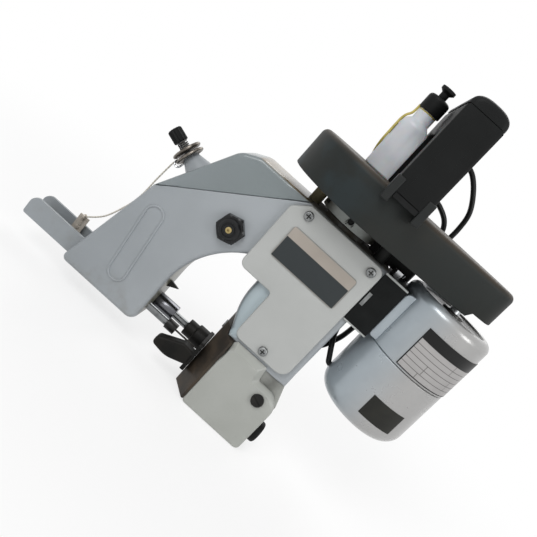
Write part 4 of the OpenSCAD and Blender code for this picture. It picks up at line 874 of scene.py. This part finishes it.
def addGrip():
    s, c, d = gripSet, clipSet, apronSet
    y0, y1, z0, p, e = s["front"], s["rear"], s["low"], s["post"], s["edge"]
    (a0, a1), (b0, b1), roof = s["slotY"], s["slotX"], s["part"] - s["roof"]

    def arch(notch):
        # the outline in Y and Z; notch opens the underside for the trigger
        slot = [(a0, s["under"], 0), (a0, roof, 0), (a1, roof, 0), (a1, s["under"], 0)]
        return [(y0, z0, 0), (y0 + p, z0, 0), (y0 + p, s["under"], s["fillet"]), *(slot if notch else []),
                (y1 - p, s["under"], s["fillet"]), (y1 - p, z0, 0), (y1, z0, 0), (y1, s["part"], 0), (y0, s["part"], 0)]

    body = [sideSlab(arch(False), s["left"], b0 - s["gap"], e, 0), sideSlab(arch(True), b0, b1, 0, 0),
            sideSlab(arch(False), b1 + s["gap"], s["right"], 0, e)]
    clips = [boxMesh((x, y0 - c["ahead"], z0 - c["below"]), (x + c["width"], y0 + c["depth"], z0 + c["above"]))
             for x in (s["left"] - c["proud"], s["right"] + c["proud"] - c["width"])]
    apron = boxMesh((s["left"] + d["side"], y0, z0 - d["below"]),
                    (s["right"] - d["side"], y0 + d["depth"], z0 + d["above"]))
    paint(makePiece("grip-body", *joinMeshes(body), "frame", ["handle_posts", "handle_body"], "black_plastic",
                    sharp=45), "grip")
    paint(makePiece("grip-clips", *joinMeshes(clips), "frame", slot="black_plastic", bevel=0.9), "clip")
    # the apron gets the darkest black as painted shade in the groove under the grip's front end
    paint(makePiece("grip-apron", *apron, "frame", slot="black_plastic", bevel=0.5), "rubber")
    paint(makePiece("grip-cap", *capMesh(s, capSet), "frame", ["handle_cap"], "black_plastic", sharp=45), "grip")


addGrip()
print("belt cover and grip made")

# motor: a turned body with a rolled shoulder, a seam groove and a rounded end
motorSet = dict(x=78, r=38.7, low=79, seam=137, top=190, shoulder=7, end=14, wall=3, inner=35.7, groove=0.4, lip=0.5,
                recess=29.7, recessDeep=2, slope=0.5, boss=9.5, bore=4.55, floor=30)
motorPad = dict(x=39, deep=8, half=24, low=138, top=181, edge=1.2)


def addMotor():
    s, q = motorSet, motorPad
    at, r, top, seam, inner = (s["x"], 0, 0), s["r"], s["top"], s["seam"], s["inner"]
    foot, sunk, low = seam + s["groove"], top - s["recessDeep"], s["low"] + s["wall"]
    upper = roundProfile([(inner, foot, 0), (r - s["lip"], foot, 0), (r, foot + s["lip"], 0.3), (r, top, s["shoulder"]),
                          (s["recess"], top, 1.0), (s["recess"] - s["slope"], sunk, 0.5), (s["boss"], sunk, 0.5),
                          (s["boss"], top, 1.0), (s["bore"], top, 0)])
    upper = np.vstack([upper, [s["bore"], top - s["wall"]], [inner, top - s["wall"]], upper[:1]])
    near, far = q["x"], q["x"] + q["deep"]
    pad = [(near, q["low"], 3), (far, q["low"], 0), (far, q["top"], 0), (near, q["top"], 6)]
    parts = [latheMesh(upper, at, sides=128),
             slabMesh(fixedOutline(pad), -q["half"], q["half"], q["edge"], q["edge"])]
    paint(makePiece("motor-housing", *joinMeshes(parts), "frame", ["motor_housing"], "motor_paint", sharp=50), "motor")
    lower = roundProfile([(0, s["low"], 0), (r, s["low"], s["end"]), (r, seam - s["lip"], 0.3), (r - s["lip"], seam, 0),
                          (inner, seam, 0)])
    lower = np.vstack([lower, [inner, s["low"] + s["end"]], [s["floor"], low], [0, low]])
    paint(makePiece("motor-end-cap", *latheMesh(lower, at, sides=128), "frame", ["motor_end_cap"], "motor_paint",
                    sharp=50), "motor")


addMotor()


def gapOf(tree, value, middle, half):
    # how far a coordinate lies outside a span about its middle, in metres
    off = mathNode(tree, "ABSOLUTE", mathNode(tree, "SUBTRACT", value, middle))
    return mathNode(tree, "SUBTRACT", off, half)


def lineAt(tree, value, place, half=0.0002, fade=0.00012):
    # one fine ruled line at a coordinate
    return rampNode(tree, gapOf(tree, value, place, half), fade, 0.0)


# rows are heights; each upright rule has its place round the motor, and the middle and half height of its rows;
# the border has the middle and half size of the field inside it
formSet = dict(rows=(0.1608, 0.1566, 0.1524, 0.1482, 0.144), head=(0.1648, 0.1652), axisX=0.078, radius=0.039,
               rules=((-0.038, 0.1608, 0.0042), (-0.056, 0.1482, 0.0042), (-0.030, 0.1482, 0.0042),
                      (-0.058, 0.1415, 0.0025)),
               borderS=(-0.0415, 0.0317), borderZ=(0.1565, 0.0167))


def labelTint(t, hue):
    # a blank form: a dark head band, a dark border and thin ruled lines
    s, (x, y, z) = formSet, placeOf(t)
    along = times(t, mathNode(t, "ARCTAN2", y, mathNode(t, "SUBTRACT", x, s["axisX"])), s["radius"])
    marks = [lineAt(t, z, row) for row in s["rows"]]
    for place, middle, half in s["rules"]:
        rows = rampNode(t, gapOf(t, z, middle, half), 0.0001, 0.0)
        marks.append(times(t, rows, lineAt(t, along, place)))
    lines = marks[0]
    for mark in marks[1:]:
        lines = mathNode(t, "MAXIMUM", lines, mark)
    border = mathNode(t, "MAXIMUM", gapOf(t, along, *s["borderS"]), gapOf(t, z, *s["borderZ"]))
    edge, head = rampNode(t, border, -0.0002, 0.0002), rampNode(t, z, *s["head"])
    hue = mixNode(t, hue, "4A4846", times(t, lines, 0.8))
    return mixNode(t, hue, "141414", mathNode(t, "MAXIMUM", edge, head))


nameForm = dict(splitZ=(0.1523, 0.1527), rimX=(-0.02335, 0.0297), rimZ=(0.14775, 0.01345))


def nameTint(t, hue):
    # a blank plate of two tones with a pale rim
    s, (x, _, z) = nameForm, placeOf(t)
    hue = mixNode(t, "262C2E", hue, rampNode(t, z, *s["splitZ"]))
    rim = mathNode(t, "MAXIMUM", gapOf(t, x, *s["rimX"]), gapOf(t, z, *s["rimZ"]))
    return mixNode(t, hue, "8D8B86", rampNode(t, rim, -0.0001, 0.0002))


finishes.update(
    label=finishOf("blank rating label", "A8A6A5", "9A9897", 0.4, patch=(50, 0.5), specular=0.25, tint=labelTint),
    patch=finishOf("black label", "22221F", "2C2C27", 0.4, patch=(70, 0.5), specular=0.2),
    name=finishOf("blank nameplate", "A39B92", "938B82", 0.34, metal=0.2, patch=(40, 0.5), tint=nameTint),
)
labelSet = dict(rating=dict(r=motorSet["r"] + 0.05, thick=0.45, turn=(-109, -13), low=139, high=174),
                patch=dict(r=motorSet["r"] - 0.1, thick=0.25, turn=(-100, -54), low=93, high=111),
                tag=((18.6, -26.2, 150.5), (21.4, -25.9, 162)))
nameCorners, nameDepth = [(-54, 133.5, 3), (7.3, 133.5, 3), (7.3, 162, 3), (-54, 162, 3)], (-28.8, -28, 0.25, 0.05)


def wrapMesh(x, r, thick, turn, low, high, cols=49, rows=13):
    # a thin label bent round an upright cylinder: an outer sheet, a rim and an inner sheet
    a = np.radians(np.linspace(turn[0], turn[1], cols))
    sheets = []
    for q in (r + thick, r):
        sheets += [np.column_stack([x + q * np.cos(a), q * np.sin(a), np.full(cols, h)])
                   for h in np.linspace(low, high, rows)]
    base = rows * cols
    faces = ringFaces(rows, cols, False) + ringFaces(rows, cols, False, base)
    rim = [*range(cols), *(i * cols + cols - 1 for i in range(1, rows)),
           *range(base - 2, base - cols - 1, -1), *(i * cols for i in range(rows - 2, 0, -1))]
    faces += [[i, k, k + base, i + base] for i, k in zip(rim, rim[1:] + rim[:1])]
    return np.concatenate(sheets), faces


def addLabels():
    s, x = labelSet, motorSet["x"]
    paint(makePiece("rating-plate", *wrapMesh(x, **s["rating"]), "frame", ["rating_plate"], "rating_plate", sharp=50),
          "label")
    paint(makePiece("motor-patch", *wrapMesh(x, **s["patch"]), "frame", slot="rating_plate", sharp=50), "patch")
    paint(makePiece("bracket-tag", *boxMesh(*s["tag"]), "frame", slot="black_metal", bevel=0.1), "zinc")
    name = slabMesh(fixedOutline(nameCorners), *nameDepth)
    paint(makePiece("name-plate", *name, "frame", ["nameplate"], "nameplate", sharp=40), "name")


addLabels()

# turned pieces: a profile's points are radius, height and corner radius
pumpAt = (-37, 16, 0)
turnedSet = (
    dict(name="oil-bottle", nodes=["oil_bottle"], slot="bottle", finish="bottle", at=pumpAt, axis="z", ring=False,
         profile=((0, 228, 0), (11.6, 228, 1.5), (11.6, 271, 4.5), (7.5, 275, 1), (7.5, 284, 0.3), (0, 284, 0))),
    dict(name="neck-seal", nodes=[], slot="oil_tube", finish="oil", at=pumpAt, axis="z", ring=True,
         profile=((6.5, 282.4, 0), (7.55, 282.4, 0.4), (7.55, 283.9, 0.4), (6.5, 283.9, 0))),
    dict(name="bumper", nodes=["rubber_bumper"], slot="rubber", finish="rubber", at=(0, -10, 14.5), axis="x",
         ring=False, profile=((0, 29, 0), (9.5, 29, 1), (9.5, 36, 2.4), (3.6, 36, 1), (2.6, 34.8, 0.4), (0, 34.8, 0))),
)
tensionSet = dict(at=(-152.8, 0, 142.8), tilt=17.5)
knobSet = dict(waves=12, depth=0.13, profile=(
    (0, 10.05, 0), (5.75, 10.05, 0.6), (5.75, 21, 1.2), (2.6, 21, 0.4), (2.4, 20.2, 0), (0, 20.2, 0)))
# half of the pair of discs: flat at its middle, flaring away from the thread at its rim
dishProfile = ((2.55, 0.65), (7, 0.65), (8.8, 0.75), (10, 0.85), (11, 1.05), (11.7, 1.5), (12, 2.2), (11.8, 2.9),
               (11.2, 3.4), (10.3, 3.4), (9.5, 2.9), (8.4, 2.3), (6.5, 1.95), (2.55, 1.95), (2.55, 0.65))
wireEye = dict(radius=0.8, points=((-156, -1.5, 132.2), (-155.2, -3, 130.2), (-153, -3.4, 129.2), (-151, -3.2, 130.6),
                                   (-150.2, -2.6, 133), (-149.8, -1.5, 135.5)))
grubSet = dict(radius=2.45, reach=(21, 23.3), turns=(0, 65), at=(-26, 0, 190.3))
nutSet = dict(at=(-87.5, 127), flats=20.5, turn=45, y0=-24, y1=-33, rise=3, boss=8.2, hole=2.4, drill=3)


def tilted(verts):
    # local Z laid along the tension post's axis, which leans up to the left
    b = math.radians(tensionSet["tilt"] - 90)
    x, y, z = np.asarray(verts, float).T
    return np.column_stack([x * math.cos(b) + z * math.sin(b), y, z * math.cos(b) - x * math.sin(b)]) + tensionSet["at"]


def nutMesh(at, flats, turn, y0, y1, rise, boss, hole, drill, sides=96):
    # a hexagon whose front corners are cut by a cone, then a round boss with a turned groove and a plain hole
    t = np.linspace(0, 2 * math.pi, sides, endpoint=False)
    w = (t - math.radians(turn) + math.pi / 6) % (math.pi / 3) - math.pi / 6
    hexR = flats / 2 / np.cos(w)
    face = y1 + rise
    rows = [(hexR, y0), (hexR, face + 1.6), (np.minimum(hexR, flats / 2 + 0.7), face + 0.6),
            (np.minimum(hexR, flats / 2) - 0.4, face), (boss, face), (boss, y1 + 0.7), (boss - 0.7, y1),
            (boss * 0.68, y1), (boss * 0.64, y1 + 0.5), (boss * 0.56, y1 + 0.5), (boss * 0.52, y1), (hole, y1),
            (hole, y1 + drill)]
    return ringMesh([atDepth(np.column_stack([at[0] + r * np.cos(t), at[1] + r * np.sin(t)]), y) for r, y in rows])


def addTurned():
    for s in turnedSet:
        profile = roundProfile(s["profile"])
        if s["ring"]:
            profile = np.vstack([profile, profile[:1]])
        paint(makePiece(s["name"], *latheMesh(profile, s["at"], s["axis"]), "frame", s["nodes"], s["slot"], sharp=50),
              s["finish"])
    k = knobSet
    v, f = latheMesh(roundProfile(k["profile"]), (0, 0, 0), sides=144,
                     ripple=lambda t: 1 - k["depth"] * (0.5 + 0.5 * np.cos(k["waves"] * t)))
    paint(makePiece("tension-knob", tilted(v), f, "tension_nut", ["tension_knob"], "black_plastic", sharp=60), "grip")
    v, f = joinMeshes([latheMesh(np.array(dishProfile) * (1, way), (0, 0, 0), sides=96) for way in (1, -1)])
    paint(makePiece("tension-discs", tilted(v), f, "frame", ["tension_discs"], "steel", sharp=60), "disc")
    eye = splinePoints(wireEye["points"], 8)
    paint(makePiece("thread-eye", *tubeMesh(eye, wireEye["radius"], 10), "frame", slot="bright_steel"), "bright")
    g = grubSet
    r, (low, high) = g["radius"], g["reach"]
    v, f = latheMesh(roundProfile([(0, low, 0), (r, low, 0.2), (r, high, 0.4), (0, high, 0)]), (0, 0, 0), sides=24)
    grubs = []
    for turn in np.radians(g["turns"]):
        # the screw's own axis is laid outwards, turned from the front towards the left
        out = np.array([-math.sin(turn), -math.cos(turn), 0])
        across = np.array([-out[1], out[0], 0])
        grubs.append((v[:, :1] * across + v[:, 1:2] * (0, 0, 1) + v[:, 2:] * out + g["at"], f))
    # the grub screws' darkest black also stands in as painted shade in their holes
    paint(makePiece("hub-grub-screws", *joinMeshes(grubs), "main_shaft", slot="black_metal"), "rubber")
    paint(makePiece("pivot-nut", *nutMesh(**nutSet), "frame", ["pivot_nut"], "black_metal", sharp=30), "nut")


# presser foot: a collar on the bar, a slotted sole and a rounded wing
footSet = dict(bar=(10, 33), bore=3.3, collar=(7.3, 9), collarX=(-65.5, -57, -46.9), soleX=(-46.9, -43.4),
               soleY=(-20, 20), soleZ=(14, 42), soleEdge=0.7, slot=(-9.1, 1.1, 34.6), wingEdge=2.2)
wingCorners = [(-76.8, 14.9, 3.4), (-62, 12.9, 22), (-46.9, 18.5, 6), (-43.4, 21.5, 2.4), (-43.4, 31, 2.4),
               (-56, 32.5, 6), (-76.8, 22.3, 3.4)]


def addPresserFoot():
    s = footSet
    a, b, c = s["collarX"]
    q, r = s["collar"]
    collar = roundProfile([(s["bore"], a, 0), (q, a, 0.8), (q, b, 0.4), (r, b, 1.2), (r, c, 0), (s["bore"], c, 0)])
    parts = [latheMesh(np.vstack([collar, collar[:1]]), (0, *s["bar"]), "x")]
    (y0, y1, top), (left, right), (low, high) = s["slot"], s["soleY"], s["soleZ"]
    sole = [(left, low, 2), (y0, low, 0), (y0, top, 0), (y1, top, 0), (y1, low, 0), (right, low, 2), (right, high, 5),
            (left, high, 5)]
    parts.append(sideSlab(sole, *s["soleX"], s["soleEdge"], s["soleEdge"]))
    parts.append(slabMesh(fixedOutline(wingCorners, step=1.0), left, y0, s["wingEdge"], s["wingEdge"], 7))
    paint(makePiece("presser-foot", *joinMeshes(parts), "presser", ["presser_foot"], "black_metal", sharp=50),
          "presser")


# spring on the presser bar: a fixed coil, which this script does not shorten as the foot lifts
coilSet = dict(bar=(10, 33), span=(-157.6, -127.6), radius=5.1, wire=0.75, turns=9, turnSteps=28, lift=8)


def addPresserSpring():
    # a wire whose angle about the bar grows evenly with its place along it
    s = coilSet
    left, right = s["span"]
    f = np.linspace(0, 1, s["turnSteps"] * s["turns"] + 1)
    a = 2 * math.pi * s["turns"] * f
    path = np.column_stack([left + s["wire"] + (right - left - 2 * s["wire"]) * f,
                            s["bar"][0] + s["radius"] * np.cos(a), s["bar"][1] + s["radius"] * np.sin(a)])
    piece = makePiece("presser-spring", *tubeMesh(path, s["wire"], 10, (1, 0, 0)), "frame", ["presser_spring"], "steel")
    paint(piece, "steel")
    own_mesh(piece)


addPresserFoot()
addPresserSpring()
addTurned()
print("motor, labels, presser foot and turned pieces made")

# remaining solids keep their shape: a weld, a small round on each edge, and a finish
dressed = dict(
    needle_guard=("arm", 1.0), motor_bracket=("bracket", 0.7), bracket_bolts=("bright", 0.3),
    cover_screws=("zinc", 0.15), throat_plate=("throat", 0.5), bar_bushing=("gunmetal", 0.5),
    presser_bar=("bar", 0.3), needle_bar=("bar", 0.3), needle_clamp=("blackMetal", 0.4), needle=("spring", 0),
    tension_post=("arm", 0.4), tension_spring=("spring", 0), oil_plug=("brass", 0.3), looper_pin=("blackMetal", 0.3),
    thread_guide=("guide", 0.15), thread_knife=("blackMetal", 0.1), bottle_clip=("grip", 0.3), pump_head=("grip", 0.6),
    pump_button=("grip", 0.8), mains_gland=("grip", 0.5), switch_trigger=("grip", 0.8), switch_body=("grip", 0.4),
    belt_cover_base=("base", 0.5), machine_pulley=("cast", 0.5), motor_pulley=("steel", 0.3),
    drive_belt=("rubber", 0.2), main_shaft=("steel", 0.2), main_bearings=("steel", 0.2),
    motor_armature=("steel", 0.2), motor_stator=("winding", 0.2), rocker_lever=("steel", 0.4),
    rocker_shaft=("steel", 0.2), connecting_rod=("steel", 0.4), looper=("bright", 0.2), feed_dog=("steel", 0.2),
)


def addDressed():
    for node, (finish, edge) in dressed.items():
        piece = paint(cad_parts[node], finish)
        weld = piece.modifiers.new("weld", "WELD")
        weld.merge_threshold = 2e-6
        if edge:
            roundEdges(piece, edge, 2, 35)


addDressed()
shown = {n for n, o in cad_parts.items() if not o.hide_render} - set(dressed)
print("dressed", len(dressed), "left plain", sorted(shown))


# stage: pale floor, soft light, white surround
floorSet = dict(size=8, drop=0.0005, colour=(0.93, 0.93, 0.93, 1), rough=0.9, fade=(0.25, 0.6), white=(0.75, 1.0))
surround = dict(light=0.38, seen=1.0)
lamps = (dict(place=(-0.5, -0.9, 1.1), aim=(0, 0, 0.12), size=0.7, power=9),
         dict(place=(0.9, -0.7, 0.6), aim=(0, 0, 0.12), size=0.5, power=4),
         dict(place=(0.1, 0.8, 1.0), aim=(0, 0, 0.15), size=0.8, power=6))


def seenDirect(tree):
    # 1 for rays from the camera and for those that metal or glass sends on, 0 for light on the object
    path = tree.nodes.new("ShaderNodeLightPath")
    rays = mathNode(tree, "MAXIMUM", path.outputs["Is Camera Ray"], path.outputs["Is Glossy Ray"])
    return mathNode(tree, "MAXIMUM", rays, path.outputs["Is Transmission Ray"])


def addFloor(s):
    # seen by the camera, or in metal and glass, the floor is mostly white and keeps a part of the shadow;
    # far from the object it turns into the white of the surround
    bpy.ops.mesh.primitive_plane_add(size=s["size"], location=(0, 0, -s["drop"]))
    floor = bpy.context.object
    floor.name = "floor"
    m = bpy.data.materials.new("floor")
    m.use_nodes = True
    t = m.node_tree
    shader = t.nodes["Principled BSDF"]
    shader.inputs["Base Color"].default_value = s["colour"]
    shader.inputs["Roughness"].default_value = s["rough"]
    glow, mix = t.nodes.new("ShaderNodeEmission"), t.nodes.new("ShaderNodeMixShader")
    away = t.nodes.new("ShaderNodeVectorMath")
    away.operation = "LENGTH"
    feed(t, away.inputs[0], objectPoint(t))
    white = rampNode(t, away.outputs["Value"], *s["fade"], *s["white"])
    for key, value in enumerate((times(t, white, seenDirect(t)), shader.outputs[0], glow.outputs[0])):
        feed(t, mix.inputs[key], value)
    feed(t, t.nodes["Material Output"].inputs["Surface"], mix.outputs[0])
    floor.data.materials.append(m)


def addLight():
    # a white surround that lights the object less than it shows, and soft lamps that face their aims
    world = bpy.data.worlds.new("studio")
    scene.world = world
    world.use_nodes = True
    t = world.node_tree
    back = t.nodes["Background"]
    back.inputs["Color"].default_value = (1, 1, 1, 1)
    more = times(t, seenDirect(t), surround["seen"] - surround["light"])
    feed(t, back.inputs["Strength"], mathNode(t, "ADD", more, surround["light"]))
    for s in lamps:
        data = bpy.data.lights.new("soft light", "AREA")
        data.size, data.energy = s["size"], s["power"]
        lamp = bpy.data.objects.new("soft light", data)
        lamp.location = s["place"]
        lamp.rotation_euler = (Vector(s["aim"]) - Vector(s["place"])).to_track_quat("-Z", "Y").to_euler()
        scene.collection.objects.link(lamp)


addFloor(floorSet)
addLight()
print("floor and light made")
scene.view_settings.view_transform = "Standard"
